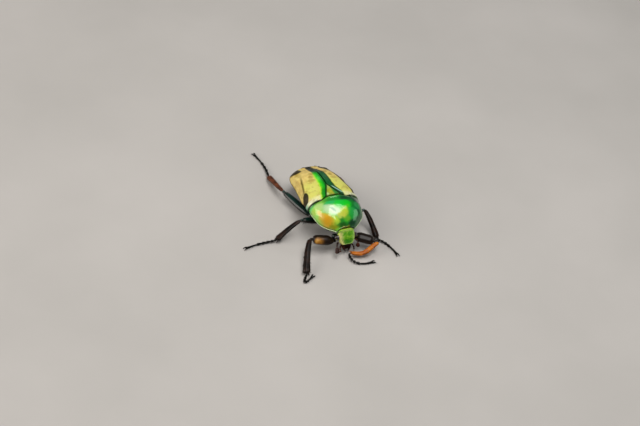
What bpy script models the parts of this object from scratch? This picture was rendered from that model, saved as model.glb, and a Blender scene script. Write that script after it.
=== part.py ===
"""Flower beetle, a hornless female, as a still life-size model with one closed solid for each part.

+X points to the beetle's left, +Y to its rear and +Z up, with the floor at zero height.
The shapes are worked out in millimetres, on axes whose Y is zero at the hind edge of the shield,
and are written out in metres with the origin under the middle of the whole insect.
"""
import bmesh
import bpy
import numpy as np

MM = 0.001
GAP = 0.2
FLOOR = 0.0

# The pronotum, or shield: value at each station from its hind edge (0) to its front edge (1).
SHIELD_LENGTH = 9.8
SHIELD_HALF_WIDTH = ((0, 7.15), (0.2, 7.1), (0.35, 6.95), (0.6, 6.3), (0.82, 4.5), (1, 2.5))
SHIELD_MARGIN_Z = ((0, 7.8), (0.15, 7.15), (0.35, 7.05), (0.6, 6.6), (0.82, 6.1), (1, 6.0))
SHIELD_CREST_Z = ((0, 10.3), (0.15, 11.1), (0.35, 11.2), (0.6, 10.45), (0.82, 9.1), (1, 7.2))
SHIELD_FILL = ((0, 0.45), (0.8, 0.7), (1, 0.85))
SHIELD_RIM = 0.45
SHIELD_SIDE_WALL = 0.2
SHIELD_POWERS = (2.3, 1.9)
SHIELD_HIND_Y = ((0, 0.0), (0.15, 0.05), (0.3, -0.15), (0.45, -0.65), (0.6, -0.87), (0.8, -0.9), (1, -1.0))
SHIELD_FRONT_SWEEP = 0.1

# The wing cases, or elytra: value at each station from their front edge (0) to their tips (1).
CASE_FRONT_Y = 0.6
CASE_FRONT_EDGE = ((2, 0.1), (2.4, 0), (3.2, -0.4), (3.8, -0.56),
                   (4.5, -0.4), (5.5, 0.35), (6.5, 0.5), (7.1, 0.4))
CASE_LENGTH = 16.65
CASE_HALF_WIDTH = ((0, 7.05), (0.12, 7.6), (0.3, 7.15), (0.55, 6.6), (0.8, 6.2), (0.92, 5.75), (1, 4.4))
CASE_MARGIN_Z = ((0, 6.95), (0.12, 6.9), (0.3, 6.4), (0.55, 5.75), (0.8, 5.0), (0.92, 5.35), (1, 5.9))
CASE_CREST_Z = ((0, 10.6), (0.3, 10.64), (0.55, 10.1), (0.8, 8.1), (0.92, 7.0), (1, 6.5))
CASE_WALL = 0.6
CASE_POWERS = (3.0, 1.7)
SEAM_HALF_GAP = 0.1
TIP_ROUNDING = 0.05
NOTCH_ROOM = 0.3

# The plate before each wing case follows the same arch over these turns from the side level.
SHOULDER_HALF_WIDTH = 6.85
SHOULDER_SIDE_Z = 7.35
SHOULDER_RISE = 3.0
SHOULDER_DROP = 1.3
SHOULDER_TURNS = (-0.5, 0.92)
SHOULDER_WALL = 0.65

SCUTELLUM_HALF_WIDTH = 1.95
SCUTELLUM_TIP_Y = 4.5
SCUTELLUM_THICKNESS = 0.6
SCUTELLUM_SWELL = 0.1
SCUTELLUM_TIP_HALF_WIDTH = 0.06

# The head hangs steeply: upper and lower profile from the neck (0) to the lip of the face (1).
HEAD_TOP_Y = ((0, -9.2), (0.12, -10.05), (0.25, -10.5), (0.5, -11.2), (0.8, -11.9), (1, -12.2))
HEAD_TOP_Z = ((0, 5.2), (0.12, 5.6), (0.25, 6.75), (0.5, 5.65), (0.8, 4.05), (1, 3.1))
HEAD_LOW_Y = ((0, -8.95), (0.25, -9.05), (0.5, -9.9), (0.8, -11.2), (1, -11.95))
HEAD_LOW_Z = ((0, 4.8), (0.25, 4.5), (0.5, 3.9), (0.8, 3.1), (1, 2.85))
HEAD_HALF_WIDTH = ((0, 1.4), (0.12, 1.6), (0.25, 1.95), (0.5, 2.35), (0.65, 2.25), (0.8, 1.95), (1, 1.2))
HEAD_SIDE_POWER = 4.5
HEAD_TOP_POWER = 2.4
EYE_PLACE = (2.48, -10.6, 4.72)
EYE_RADII = (0.8, 0.78, 0.8)
FEELER_ROOT = (2.75, -11.35, 3.75)
FEELERS = {"left": ((3.1, -12.1, 3.2), (2.8, -12.7, 2.0)), "right": ((3.1, -12.3, 3.1), (3.4, -13.7, 1.9))}
STALK_RADII = ((0, 0.3), (1, 0.28))
CLUB_RADII = ((0, 0.28), (0.3, 0.5), (0.75, 0.55), (1, 0.3))
CLUB_GAP = 0.36

# The mouth tapers from these places and half sizes by these amounts.
MOUTH_PLACE = (-10.75, 2.75)
MOUTH_REACH = (-0.75, -1.5)
MOUTH_HALF_WIDTH = 1.5
MOUTH_HALF_DEPTH = 0.55
MOUTH_NARROWING = 0.6
MOUTH_THINNING = 0.2
MOUTH_SLANT = 0.4

# The underside: lowest height of the fore body, the breast and the belly along the body.
FORE_BODY_Y = (-8.3, -1.3)
FORE_BODY_INSET = 0.75
FORE_BODY_DROP = 0.85
FORE_BODY_LOW_Z = ((-8.3, 4.5), (-6.5, 4.35), (-4.5, 4.1), (-1.3, 4.3))
BREAST_STATIONS = (-0.95, -0.3, 0.3, 0.85, 1.4, 2.2, 3.0, 3.9)
BREAST_HALF_WIDTH = 5.35
BREAST_SIDE_Z = 6.6
BREAST_FRONT_TOP_Z = 7.7
BREAST_TOP_Z = 9.6
BREAST_LOW_Z = ((-0.95, 4.1), (0.2, 3.7), (1.1, 3.05), (1.7, 3.15), (2.7, 4.1), (3.9, 4.15))
TRUNK_INSET = 0.9
BELLY_Y = (4.1, 15.2)
BELLY_LOW_Z = ((4.1, 4.05), (8, 4.0), (12, 3.75), (15.2, 3.65))
BELLY_PLATES = 5
PLATE_STEP = 0.14
PLATE_STATIONS = (0.0, 0.5, 0.93)
BELLY_END_SHRINK = 0.08
BREAST_POWERS = (3, 1.7)
BELLY_POWERS = (2.6, 1.8)
PYGIDIUM_Y = (15.5, 18.1)
PYGIDIUM_HALF_WIDTH = 4.2
PYGIDIUM_SIDE_Z = 4.6
PYGIDIUM_RISE = 0.8
PYGIDIUM_DROP = 0.95

# Each leg: where it leaves its hip, then knee, end of the shin, bend of the foot and its tip.
LEGS = {
    "front_right": ((-1.7, -7.8, 3.4), (-2.8, -9.8, 3.1), (-9.0, -8.6, 4.0), (-13.75, -17.6, 0.85),
                    (-17.1, -21.8, 0.3), (-12.5, -18.6, 0.3)),
    "front_left": ((1.7, -7.6, 3.4), (2.7, -9.2, 3.3), (8.3, -13.1, 2.9), (0.7, -13.6, 1.3),
                   (-0.8, -18.0, 0.3), (5.2, -17.6, 0.3)),
    "middle_right": ((-1.5, -0.6, 3.3), (-2.9, -0.9, 3.0), (-8.8, -1.2, 4.4), (-16.4, -3.0, 0.9),
                     (-20.8, -2.4, 0.3), (-25.0, -3.4, 0.3)),
    "middle_left": ((1.5, -0.6, 3.3), (2.9, -0.9, 3.0), (9.1, -1.4, 4.2), (10.0, -9.4, 0.9),
                    (12.4, -11.2, 0.3), (12.9, -16.3, 0.3)),
    "hind_right": ((-1.4, 3.4, 3.4), (-4.6, 2.3, 2.2), (-8.2, 12.9, 2.8), (-8.8, 21.9, 1.0),
                   (-7.5, 27.6, 0.3), (-8.9, 32.9, 0.3)),
    "hind_left": ((1.4, 3.4, 3.4), (4.4, 2.6, 2.2), (9.0, 11.6, 3.0), (7.8, 20.0, 1.0),
                  (7.2, 24.4, 0.3), (2.6, 23.6, 0.3)),
}
HIP_RADII = ((0, 0.5), (0.35, 0.95), (0.7, 0.85), (1, 0.35))
THIGH_RADII = ((0, 0.35), (0.12, 0.78), (0.4, 1.15), (0.75, 0.9), (0.92, 0.66), (1, 0.36))
FRONT_THIGH_RADII = ((0, 0.35), (0.12, 0.85), (0.4, 1.55), (0.75, 1.45), (0.92, 0.95), (1, 0.42))
THIGH_DEPTH = 0.75
HIP_DEPTH = 0.8
SHIN_RADII = ((0, 0.32), (0.1, 0.55), (0.3, 0.66), (0.7, 0.76), (0.94, 0.86), (1, 0.5))
DIGGING_RADII = ((0, 0.42), (0.1, 0.68), (0.3, 0.78), (0.7, 0.88), (0.92, 1.0), (1, 0.55))
FOLDED_RADII = ((0, 0.36), (0.1, 0.58), (0.3, 0.68), (0.7, 0.66), (0.92, 0.62), (1, 0.4))
FOOT_SEGMENTS = 5
FOOT_THIN = 0.26
FOOT_WIDE = 0.4
FOOT_END = 0.32
FOOT_DEPTH = 0.85
CLAW_TAPER = 0.7
CLAW_REACH = 0.55
CLAW_SPREAD = 0.3
CLAW_POINT = 0.5
FOOT_GAP = 0.4
FOOT_ROOM = 0.55
HIP_GAP = 0.6
HIP_TRIM = 0.12
KNEE_REACH = 0.4
KNEE_TRIM = 0.25
KNEE_ROOM = 0.8
SHIN_BOW = (0.3, 0.8)
FOLDED_LEG = "front_left"
FOLDED_SHIN_BOW = (1.25, 1.5)
SHIN_DEPTH = 0.72
DIGGING_DEPTH = 0.6
TOOTH_STATIONS = (0.52, 0.74, 0.94)
TOOTH_SPLAY = 0.45
TOOTH_LENGTH = 0.55
SMALL_TOOTH_LENGTH = 0.4
SPUR_LENGTHS = (0.9, 0.7)
LEG_COLOURS = {
    "front_right": ("thigh", "leg"), "front_left": ("thigh", "shin"), "middle_right": ("leg", "leg"),
    "middle_left": ("leg", "leg"), "hind_right": ("leg", "shin"), "hind_left": ("leg", "shin"),
}

COLOURS = {
    "shield": ((0.05, 0.32, 0.06), 0.2, 0.75),
    "case": ((0.72, 0.55, 0.24), 0.3, 0.1),
    "scutellum": ((0.35, 0.42, 0.05), 0.22, 0.7),
    "shoulder": ((0.62, 0.62, 0.32), 0.3, 0.3),
    "face": ((0.22, 0.42, 0.06), 0.28, 0.6),
    "eye": ((0.012, 0.01, 0.01), 0.15, 0.0),
    "horn": ((0.07, 0.02, 0.012), 0.3, 0.0),
    "breast": ((0.015, 0.03, 0.02), 0.25, 0.3),
    "leg": ((0.02, 0.012, 0.008), 0.25, 0.0),
    "shin": ((0.33, 0.07, 0.015), 0.28, 0.0),
    "thigh": ((0.16, 0.06, 0.015), 0.28, 0.0),
}


def smooth(stations, t):
    """Rising or falling steadily between stations: a cubic whose slopes never overshoot."""
    at, value = (np.array(column, float) for column in zip(*stations))
    step = np.diff(at)
    rise = np.diff(value) / step
    slope = np.zeros_like(value)
    both = rise[:-1] * rise[1:] > 0
    before = 2 * step[1:] + step[:-1]
    after = step[1:] + 2 * step[:-1]
    safe = np.where(both, rise[:-1] * rise[1:], 1)
    mean = (before + after) * safe / (before * rise[1:] + after * rise[:-1] + (~both))
    slope[1:-1] = np.where(both, mean, 0)
    slope[0], slope[-1] = rise[0], rise[-1]
    t = np.clip(np.asarray(t, float), at[0], at[-1])
    k = np.clip(np.searchsorted(at, t, side="right") - 1, 0, len(step) - 1)
    s = (t - at[k]) / step[k]
    start = value[k] * (1 + 2 * s) * (1 - s) ** 2 + slope[k] * step[k] * s * (1 - s) ** 2
    end = value[k + 1] * s * s * (3 - 2 * s) + slope[k + 1] * step[k] * s * s * (s - 1)
    return start + end


def arch(angle, powers):
    """Point on a unit arch |across| ** a + |up| ** b = 1, where 0 is one foot and pi the other."""
    across = np.sign(np.cos(angle)) * np.abs(np.cos(angle)) ** (2 / powers[0])
    up = np.abs(np.sin(angle)) ** (2 / powers[1])
    return across, up


def oval(half_width, top, side, low, count, powers, low_powers=None):
    """Closed ring with an arch above the side level and another below it: x and z of each point."""
    angle = np.linspace(0, 2 * np.pi, count, endpoint=False)
    upper = np.sin(angle) >= 0
    across, up = arch(angle, powers)
    across_low, down = arch(angle, low_powers or powers)
    z = np.where(upper, side + (top - side) * up, side - (side - low) * down)
    return half_width * np.where(upper, across, across_low), z


def finish(key):
    """Principled material in one of the beetle's colours."""
    material = bpy.data.materials.get(key)
    if material:
        return material
    colour, roughness, metallic = COLOURS[key]
    material = bpy.data.materials.new(key)
    material.use_nodes = True
    shader = material.node_tree.nodes["Principled BSDF"]
    shader.inputs["Base Color"].default_value = (*colour, 1)
    shader.inputs["Roughness"].default_value = roughness
    shader.inputs["Metallic"].default_value = metallic
    return material


def add_piece(name, bm, key):
    """Turn a finished bmesh into a smooth-shaded object with outward faces."""
    bmesh.ops.recalc_face_normals(bm, faces=bm.faces)
    if bm.calc_volume(signed=True) < 0:
        bmesh.ops.reverse_faces(bm, faces=bm.faces)
    bmesh.ops.scale(bm, vec=(MM, MM, MM), verts=bm.verts)
    mesh = bpy.data.meshes.new(name)
    bm.to_mesh(mesh)
    bm.free()
    mesh.shade_smooth()
    mesh.set_sharp_from_angle(angle=np.radians(50))
    mesh.materials.append(finish(key))
    piece = bpy.data.objects.new(name, mesh)
    bpy.context.collection.objects.link(piece)
    return piece


def loft(bm, rings):
    """Closed body: a face on the first ring is extruded onto each next ring. Returns both ends."""
    first = [bm.verts.new(point) for point in rings[0]]
    face = bm.faces.new(first)
    for ring in rings[1:]:
        face = bmesh.ops.extrude_discrete_faces(bm, faces=[face])["faces"][0]
        for vert, point in zip(face.verts, ring):
            vert.co = point
    return bm.faces.new(first[::-1]), face


def poke(bm, face, tip):
    """Raise the middle of a face to a point, which makes a round end or a tooth."""
    vert = bmesh.ops.poke(bm, faces=[face])["verts"][0]
    vert.co = tip
    return vert


def shell(bm, outer, inner):
    """Closed plate between two grids of the same size, walled round their edge."""
    layers = []
    for grid in (outer, inner):
        verts = [[bm.verts.new(point) for point in row] for row in grid]
        for row, following in zip(verts[:-1], verts[1:]):
            for k in range(len(row) - 1):
                bm.faces.new((row[k], row[k + 1], following[k + 1], following[k]))
        left = [row[0] for row in verts[1:-1]]
        right = [row[-1] for row in verts[1:-1]]
        layers.append(verts[0] + right + verts[-1][::-1] + left[::-1])
    for k in range(len(layers[0])):
        bm.faces.new((layers[0][k - 1], layers[0][k], layers[1][k], layers[1][k - 1]))


def shield_hind_y(across):
    """Hind edge of the shield: a lobe before the scutellum, swept forward on both sides of it."""
    return smooth(SHIELD_HIND_Y, np.abs(across))


def shield_surface(across, up, along, drop):
    """Point of the shield; drop 0 gives its upper face and drop 1 its lower face."""
    hind = shield_hind_y(across)
    front = -SHIELD_LENGTH - SHIELD_FRONT_SWEEP * across ** 2
    margin = smooth(SHIELD_MARGIN_Z, along)
    rise = smooth(SHIELD_CREST_Z, along) - margin
    fill = 1 - drop * (1 - smooth(SHIELD_FILL, along))
    x = across * (smooth(SHIELD_HALF_WIDTH, along) - drop * SHIELD_SIDE_WALL)
    y = hind + (front - hind) * along
    z = margin - drop * SHIELD_RIM + rise * fill * up
    return np.stack(np.broadcast_arrays(x, y, z), -1)


def make_pronotum():
    """Domed shield over the fore body, hollowed below."""
    across, up = arch(np.linspace(0, np.pi, 23), SHIELD_POWERS)
    along = np.linspace(0, 1, 13)[:, None]
    bm = bmesh.new()
    shell(bm, shield_surface(across, up, along, 0), shield_surface(across, up, along, 1))
    return add_piece("pronotum", bm, "shield")


def make_fore_body():
    """Dark underside of the fore body, filling the hollow of the shield."""
    rings = []
    for y in np.linspace(*FORE_BODY_Y, 9):
        along = (GAP - y) / (SHIELD_LENGTH + GAP)
        margin = smooth(SHIELD_MARGIN_Z, along)
        rise = smooth(SHIELD_CREST_Z, along) - margin
        side = margin - FORE_BODY_DROP
        top = side + rise * smooth(SHIELD_FILL, along)
        half_width = smooth(SHIELD_HALF_WIDTH, along) - FORE_BODY_INSET
        x, z = oval(half_width, top, side, smooth(FORE_BODY_LOW_Z, y), 20, (2.3, 1.8))
        rings.append(np.stack([x, np.full_like(x, y), z], -1))
    bm = bmesh.new()
    loft(bm, rings)
    return add_piece("prothorax", bm, "breast")


def case_front_y(x):
    """Front edge of the wing cases: it follows the shield and then draws back at the shoulders."""
    return smooth(CASE_FRONT_EDGE, np.abs(x))


def case_surface(side, across_step, along, wall):
    """Point of one wing case; wall 0 gives its outer face, and more gives a face inside it."""
    half_width = smooth(CASE_HALF_WIDTH, along) - wall
    margin = smooth(CASE_MARGIN_Z, along)
    crest = smooth(CASE_CREST_Z, along) - wall
    y = CASE_FRONT_Y + CASE_LENGTH * along
    notch = SCUTELLUM_HALF_WIDTH * (SCUTELLUM_TIP_Y - y) / (SCUTELLUM_TIP_Y - CASE_FRONT_Y)
    inner_edge = np.maximum(SEAM_HALF_GAP, notch + NOTCH_ROOM)
    first = np.arccos((inner_edge / half_width) ** (CASE_POWERS[0] / 2))
    across, up = arch(first * (1 - across_step), CASE_POWERS)
    x = half_width * across
    y = y + (case_front_y(x) - CASE_FRONT_Y) * (1 - along) ** 8 - TIP_ROUNDING * x ** 2 * along ** 12
    z = margin + (crest - margin) * up
    return np.stack(np.broadcast_arrays(side * x, y, z), -1)


def make_wing_case(name, side):
    """One vaulted wing case, notched for the scutellum at the front of its inner edge."""
    across_step = np.linspace(0, 1, 13)
    along = np.concatenate([np.linspace(0, 0.8, 12), [0.86, 0.92, 0.96, 1]])[:, None]
    bm = bmesh.new()
    shell(bm, case_surface(side, across_step, along, 0), case_surface(side, across_step, along, CASE_WALL))
    return add_piece(name, bm, "case")


def make_scutellum():
    """Small triangle between the shield and the wing cases."""
    along = np.linspace(0, 1, 6)[:, None]
    across = np.linspace(-1, 1, 7)
    x = across * (SCUTELLUM_HALF_WIDTH * (1 - along) + SCUTELLUM_TIP_HALF_WIDTH)
    front = shield_hind_y(x / SHIELD_HALF_WIDTH[0][1]) + GAP
    y = front + (SCUTELLUM_TIP_Y - front) * along
    z = smooth(CASE_CREST_Z, 0) + SCUTELLUM_SWELL * (1 - across ** 2) * (1 - along)
    top = np.stack([x, y, z], -1)
    bm = bmesh.new()
    shell(bm, top, top - (0, 0, SCUTELLUM_THICKNESS))
    return add_piece("scutellum", bm, "scutellum")


def make_shoulder(name, side):
    """Pale plate that shows between the hind corner of the shield and the wing case."""
    angle = np.linspace(*SHOULDER_TURNS, 7)[:, None]
    step = np.linspace(0, 1, 3)
    grids = []
    for wall in (0, SHOULDER_WALL):
        across, up = arch(angle, CASE_POWERS)
        x = (SHOULDER_HALF_WIDTH - wall) * across + 0 * step
        reach = np.where(angle > 0, SHOULDER_RISE - wall, -SHOULDER_DROP)
        z = SHOULDER_SIDE_Z + up * reach + 0 * step
        front = shield_hind_y(x / SHIELD_HALF_WIDTH[0][1]) + GAP
        y = front + (case_front_y(x) - GAP - front) * step
        grids.append(np.stack([side * x, y, z], -1))
    bm = bmesh.new()
    shell(bm, *grids)
    return add_piece(name, bm, "shoulder")


def trunk_ring(y, low, count, low_powers, shrink=0.0):
    """Ring of the hind body that fits inside the wing cases and is open to the belly below."""
    along = (y - CASE_FRONT_Y) / CASE_LENGTH
    half_width = (smooth(CASE_HALF_WIDTH, along) - TRUNK_INSET) * (1 - shrink)
    margin = smooth(CASE_MARGIN_Z, along)
    crest = smooth(CASE_CREST_Z, along) - TRUNK_INSET
    top = margin + (crest - margin) * (1 - shrink)
    x, z = oval(half_width, top, margin, low, count, CASE_POWERS, low_powers)
    return np.stack([x, np.full_like(x, y), z], -1)


def make_breast():
    """Breast between the wing bases: low behind the middle hips and raised over the hips."""
    rings = []
    for y in BREAST_STATIONS:
        low = smooth(BREAST_LOW_Z, y)
        if y < CASE_FRONT_Y:
            x, z = oval(BREAST_HALF_WIDTH, BREAST_FRONT_TOP_Z, BREAST_SIDE_Z, low, 20, BREAST_POWERS)
            ring = np.stack([x, np.full_like(x, y), z], -1)
        else:
            ring = trunk_ring(y, low, 20, BREAST_POWERS)
            ring[:, 2] = np.minimum(ring[:, 2], BREAST_TOP_Z)
        rings.append(ring)
    bm = bmesh.new()
    loft(bm, rings)
    return add_piece("thorax", bm, "breast")


def make_belly():
    """Belly of overlapping plates, each stepping up behind its hind edge."""
    rings = []
    start, end = BELLY_Y
    for plate in range(BELLY_PLATES):
        for part in PLATE_STATIONS:
            y = start + (end - start) * (plate + part) / BELLY_PLATES
            low = smooth(BELLY_LOW_Z, y) + PLATE_STEP * (1 - part)
            rings.append(trunk_ring(y, low, 20, BELLY_POWERS))
    low = smooth(BELLY_LOW_Z, end) + PLATE_STEP
    rings.append(trunk_ring(end, low, 20, BELLY_POWERS, BELLY_END_SHRINK))
    bm = bmesh.new()
    loft(bm, rings)
    return add_piece("abdomen", bm, "breast")


def make_pygidium():
    """Rounded last plate of the back, below the tips of the wing cases."""
    rings = []
    for turn in np.radians((0, 30, 55, 75)):
        size = np.cos(turn)
        top = PYGIDIUM_SIDE_Z + PYGIDIUM_RISE * size
        low = PYGIDIUM_SIDE_Z - PYGIDIUM_DROP * size
        x, z = oval(PYGIDIUM_HALF_WIDTH * size, top, PYGIDIUM_SIDE_Z, low, 20, (2.4, 2))
        y = np.full_like(x, PYGIDIUM_Y[0] + (PYGIDIUM_Y[1] - PYGIDIUM_Y[0]) * np.sin(turn))
        rings.append(np.stack([x, y, z], -1))
    bm = bmesh.new()
    loft(bm, rings)
    return add_piece("pygidium", bm, "breast")


def make_head():
    """Boxy head that hangs from the shield, flattening to the upturned lip of its face."""
    count = 20
    angle = np.linspace(0, 2 * np.pi, count, endpoint=False)
    across, _ = arch(angle, (HEAD_SIDE_POWER, 2))
    _, up = arch(angle, (2, HEAD_TOP_POWER))
    up = np.sign(np.sin(angle)) * up
    rings = []
    for t in np.linspace(0, 1, 10):
        top = np.array([0, smooth(HEAD_TOP_Y, t), smooth(HEAD_TOP_Z, t)])
        low = np.array([0, smooth(HEAD_LOW_Y, t), smooth(HEAD_LOW_Z, t)])
        side = np.array([smooth(HEAD_HALF_WIDTH, t), 0, 0])
        rings.append((top + low) / 2 + across[:, None] * side + up[:, None] * (top - low) / 2)
    bm = bmesh.new()
    loft(bm, rings)
    return add_piece("head", bm, "face")


def make_eye(name, side):
    """Bulging eye set against the side of the head."""
    centre = np.array(EYE_PLACE) * (side, 1, 1)
    bm = bmesh.new()
    rings = []
    for turn in np.radians((0, 28, 54, 76)):
        angle = np.linspace(0, 2 * np.pi, 12, endpoint=False)
        x = np.full_like(angle, side * EYE_RADII[0] * np.sin(turn))
        y = EYE_RADII[1] * np.cos(turn) * np.cos(angle)
        z = EYE_RADII[2] * np.cos(turn) * np.sin(angle)
        rings.append(centre + np.stack([x, y, z], -1))
    loft(bm, rings)
    return add_piece(name, bm, "eye")


def frame_along(path):
    """Tangent, sideways and upward unit vectors at each point of a path that is never upright."""
    tangent = np.gradient(path, axis=0)
    tangent /= np.linalg.norm(tangent, axis=1)[:, None]
    side = np.cross(tangent, (0, 0, 1))
    side /= np.linalg.norm(side, axis=1)[:, None]
    return tangent, side, np.cross(side, tangent)


def limb_rings(path, width, depth, count):
    """Oval rings square to a path, with the given half width and half depth at each point."""
    _, side, up = frame_along(path)
    angle = np.linspace(0, 2 * np.pi, count, endpoint=False)
    across = np.cos(angle)[None, :, None] * side[:, None, :] * np.asarray(width)[:, None, None]
    lift = np.sin(angle)[None, :, None] * up[:, None, :] * np.asarray(depth)[:, None, None]
    rings = path[:, None, :] + across + lift
    rings[..., 2] = np.maximum(rings[..., 2], FLOOR)
    return rings


def straight(start, end, trim_start, trim_end, count):
    """Evenly spaced points from start to end, each end drawn back by its trim."""
    start, end = np.array(start, float), np.array(end, float)
    direction = (end - start) / np.linalg.norm(end - start)
    t = np.linspace(0, 1, count)[:, None]
    return start + direction * trim_start + (end - start - direction * (trim_start + trim_end)) * t


def make_limb(name, path, radii, depth_ratio, key, count=10):
    """One leg section with rounded ends."""
    width = smooth(radii, np.linspace(0, 1, len(path)))
    bm = bmesh.new()
    loft(bm, limb_rings(path, width, width * depth_ratio, count))
    return add_piece(name, bm, key)


def grow_tooth(bm, spot, reach):
    """Raise the four-sided face nearest to a spot into a tooth that reaches from its middle."""
    def distance(face):
        return np.linalg.norm(np.array(face.calc_center_median()) - spot)
    face = min((face for face in bm.faces if len(face.verts) == 4), key=distance)
    tip = np.array(face.calc_center_median()) + reach
    tip[2] = max(tip[2], FLOOR)
    poke(bm, face, tip)


def make_shin(name, root, knee, ankle, key):
    """Shin bowed away from its thigh, with three outer teeth on a front leg, or with one small
    tooth and two end spurs on the others."""
    digging = "front" in name
    folded = name.endswith(FOLDED_LEG)
    onward = (knee - root) / np.linalg.norm(knee - root)
    path = straight(knee + onward * KNEE_REACH, ankle, 0, 0, 9)
    t = np.linspace(0, 1, len(path))
    along = (path[-1] - path[0]) / np.linalg.norm(path[-1] - path[0])
    outside = onward - along * (onward @ along)
    outside /= np.linalg.norm(outside)
    height, lean = FOLDED_SHIN_BOW if folded else SHIN_BOW
    path = path + outside * (height * np.sin(np.pi * t ** lean))[:, None]
    tangent, side, _ = frame_along(path)
    width = smooth(FOLDED_RADII if folded else DIGGING_RADII if digging else SHIN_RADII, t)
    depth = width * (DIGGING_DEPTH if digging and not folded else SHIN_DEPTH)
    bm = bmesh.new()
    loft(bm, limb_rings(path, width, depth, 10))
    outward = np.sign(side[-1] @ outside)
    if digging:
        stations = TOOTH_STATIONS[:2] if folded else TOOTH_STATIONS
        teeth = [(station, outward, TOOTH_LENGTH) for station in stations]
    else:
        teeth = [(TOOTH_STATIONS[1], outward, SMALL_TOOTH_LENGTH)]
        teeth += [(TOOTH_STATIONS[2], sign, length) for sign, length in zip((-1, 1), SPUR_LENGTHS)]
    for station, sign, length in teeth:
        k = int(round(station * (len(path) - 1)))
        reach = (side[k] * sign * TOOTH_SPLAY + tangent[k]) * length
        grow_tooth(bm, path[k] + side[k] * sign, reach)
    return add_piece(name, bm, key)


def make_foot(name, ankle, bend, tip):
    """Five beaded sections along a curve to the floor, ending in two parted claws."""
    per_segment, count = 3, 8
    t = np.linspace(0, 1, FOOT_SEGMENTS * per_segment + 1)[:, None]
    path = ankle * (1 - t) ** 2 + bend * 2 * t * (1 - t) + tip * t ** 2
    phase = (np.arange(len(path)) % per_segment) / (per_segment - 1)
    width = FOOT_THIN + (FOOT_WIDE - FOOT_THIN) * phase
    width[-1] = FOOT_END
    bm = bmesh.new()
    _, end = loft(bm, limb_rings(path, width, width * FOOT_DEPTH, count))
    tangent, side, _ = frame_along(path)
    corners = list(end.verts)
    bm.faces.remove(end)
    for first, sign in ((6, 1), (2, -1)):
        half = [corners[(first + k) % count] for k in range(count // 2 + 1)]
        face = bm.faces.new(half)
        face = bmesh.ops.extrude_discrete_faces(bm, faces=[face])["faces"][0]
        middle = np.mean([v.co for v in face.verts], axis=0)
        reach = tangent[-1] * CLAW_REACH + side[-1] * sign * CLAW_SPREAD
        for vert in face.verts:
            vert.co = middle + (np.array(vert.co) - middle) * CLAW_TAPER + reach
            vert.co.z = max(vert.co.z, FLOOR)
        point = middle + reach + tangent[-1] * CLAW_POINT
        point[2] = FLOOR
        poke(bm, face, point)
    return add_piece(name, bm, "leg")


def make_leg(place, joints):
    """Hip, thigh, shin and foot of one leg, with gaps at the joints that grow as they fold."""
    hip, root, knee, ankle, bend, tip = (np.array(joint, float) for joint in joints)
    thigh_key, shin_key = LEG_COLOURS[place]
    make_limb("coxa_" + place, straight(hip, root, 0, HIP_GAP, 5), HIP_RADII, HIP_DEPTH, "breast", 8)
    thigh_way = (knee - root) / np.linalg.norm(knee - root)
    shin_way = (ankle - knee) / np.linalg.norm(ankle - knee)
    fold = max(0, -(thigh_way @ shin_way))
    thigh = straight(root, knee, HIP_TRIM, KNEE_TRIM + KNEE_ROOM * fold, 9)
    radii = FRONT_THIGH_RADII if "front" in place else THIGH_RADII
    make_limb("femur_" + place, thigh, radii, THIGH_DEPTH, thigh_key)
    make_shin("tibia_" + place, root, knee, ankle, shin_key)
    turn = 1 - shin_way @ (bend - ankle) / np.linalg.norm(bend - ankle)
    make_foot("tarsus_" + place, ankle + shin_way * (FOOT_GAP + FOOT_ROOM * turn), bend, tip)


def make_feeler(suffix, side, elbow, end):
    """Short stalk from before the eye and a flattened club at its end."""
    mirror = np.array((side, 1, 1))
    stalk = straight(FEELER_ROOT, elbow, 0, 0, 4) * mirror
    club = straight(elbow, end, CLUB_GAP, 0, 6) * mirror
    make_limb("antenna_" + suffix, stalk, STALK_RADII, 1, "horn", 8)
    make_limb("antenna_club_" + suffix, club, CLUB_RADII, 0.8, "horn", 8)


def make_mouthparts():
    """Blunt dark lobes of the mouth below the lip, narrowing and thinning downwards."""
    rings = []
    for t in np.linspace(0, 1, 5):
        half_depth = MOUTH_HALF_DEPTH - MOUTH_THINNING * t
        half_width = MOUTH_HALF_WIDTH - MOUTH_NARROWING * t ** 2
        x, depth = oval(half_width, half_depth, 0, -half_depth, 12, (2.5, 2.5))
        y = MOUTH_PLACE[0] + MOUTH_REACH[0] * t + depth
        z = MOUTH_PLACE[1] + MOUTH_REACH[1] * t + MOUTH_SLANT * depth
        rings.append(np.stack([x, y, z], -1))
    bm = bmesh.new()
    loft(bm, rings)
    return add_piece("mouthparts", bm, "horn")


def centre_on_floor(pieces):
    """Move the meshes so that the origin is under the middle of the box round them all."""
    points = np.array([v.co for piece in pieces for v in piece.data.vertices])
    low, high = points.min(axis=0), points.max(axis=0)
    shift = np.array([(low[0] + high[0]) / 2, (low[1] + high[1]) / 2, low[2]])
    for piece in pieces:
        for vert in piece.data.vertices:
            vert.co = np.array(vert.co) - shift


def make_beetle():
    """Build every part."""
    make_pronotum()
    make_fore_body()
    make_scutellum()
    make_breast()
    make_belly()
    make_pygidium()
    make_head()
    make_mouthparts()
    for suffix, side in (("left", 1), ("right", -1)):
        make_wing_case("elytron_" + suffix, side)
        make_shoulder("mesepimeron_" + suffix, side)
        make_eye("eye_" + suffix, side)
        make_feeler(suffix, side, *FEELERS[suffix])
    for place, joints in LEGS.items():
        make_leg(place, joints)


for old in list(bpy.data.objects):
    bpy.data.objects.remove(old, do_unlink=True)
make_beetle()
centre_on_floor([piece for piece in bpy.data.objects if piece.type == "MESH"])
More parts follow.
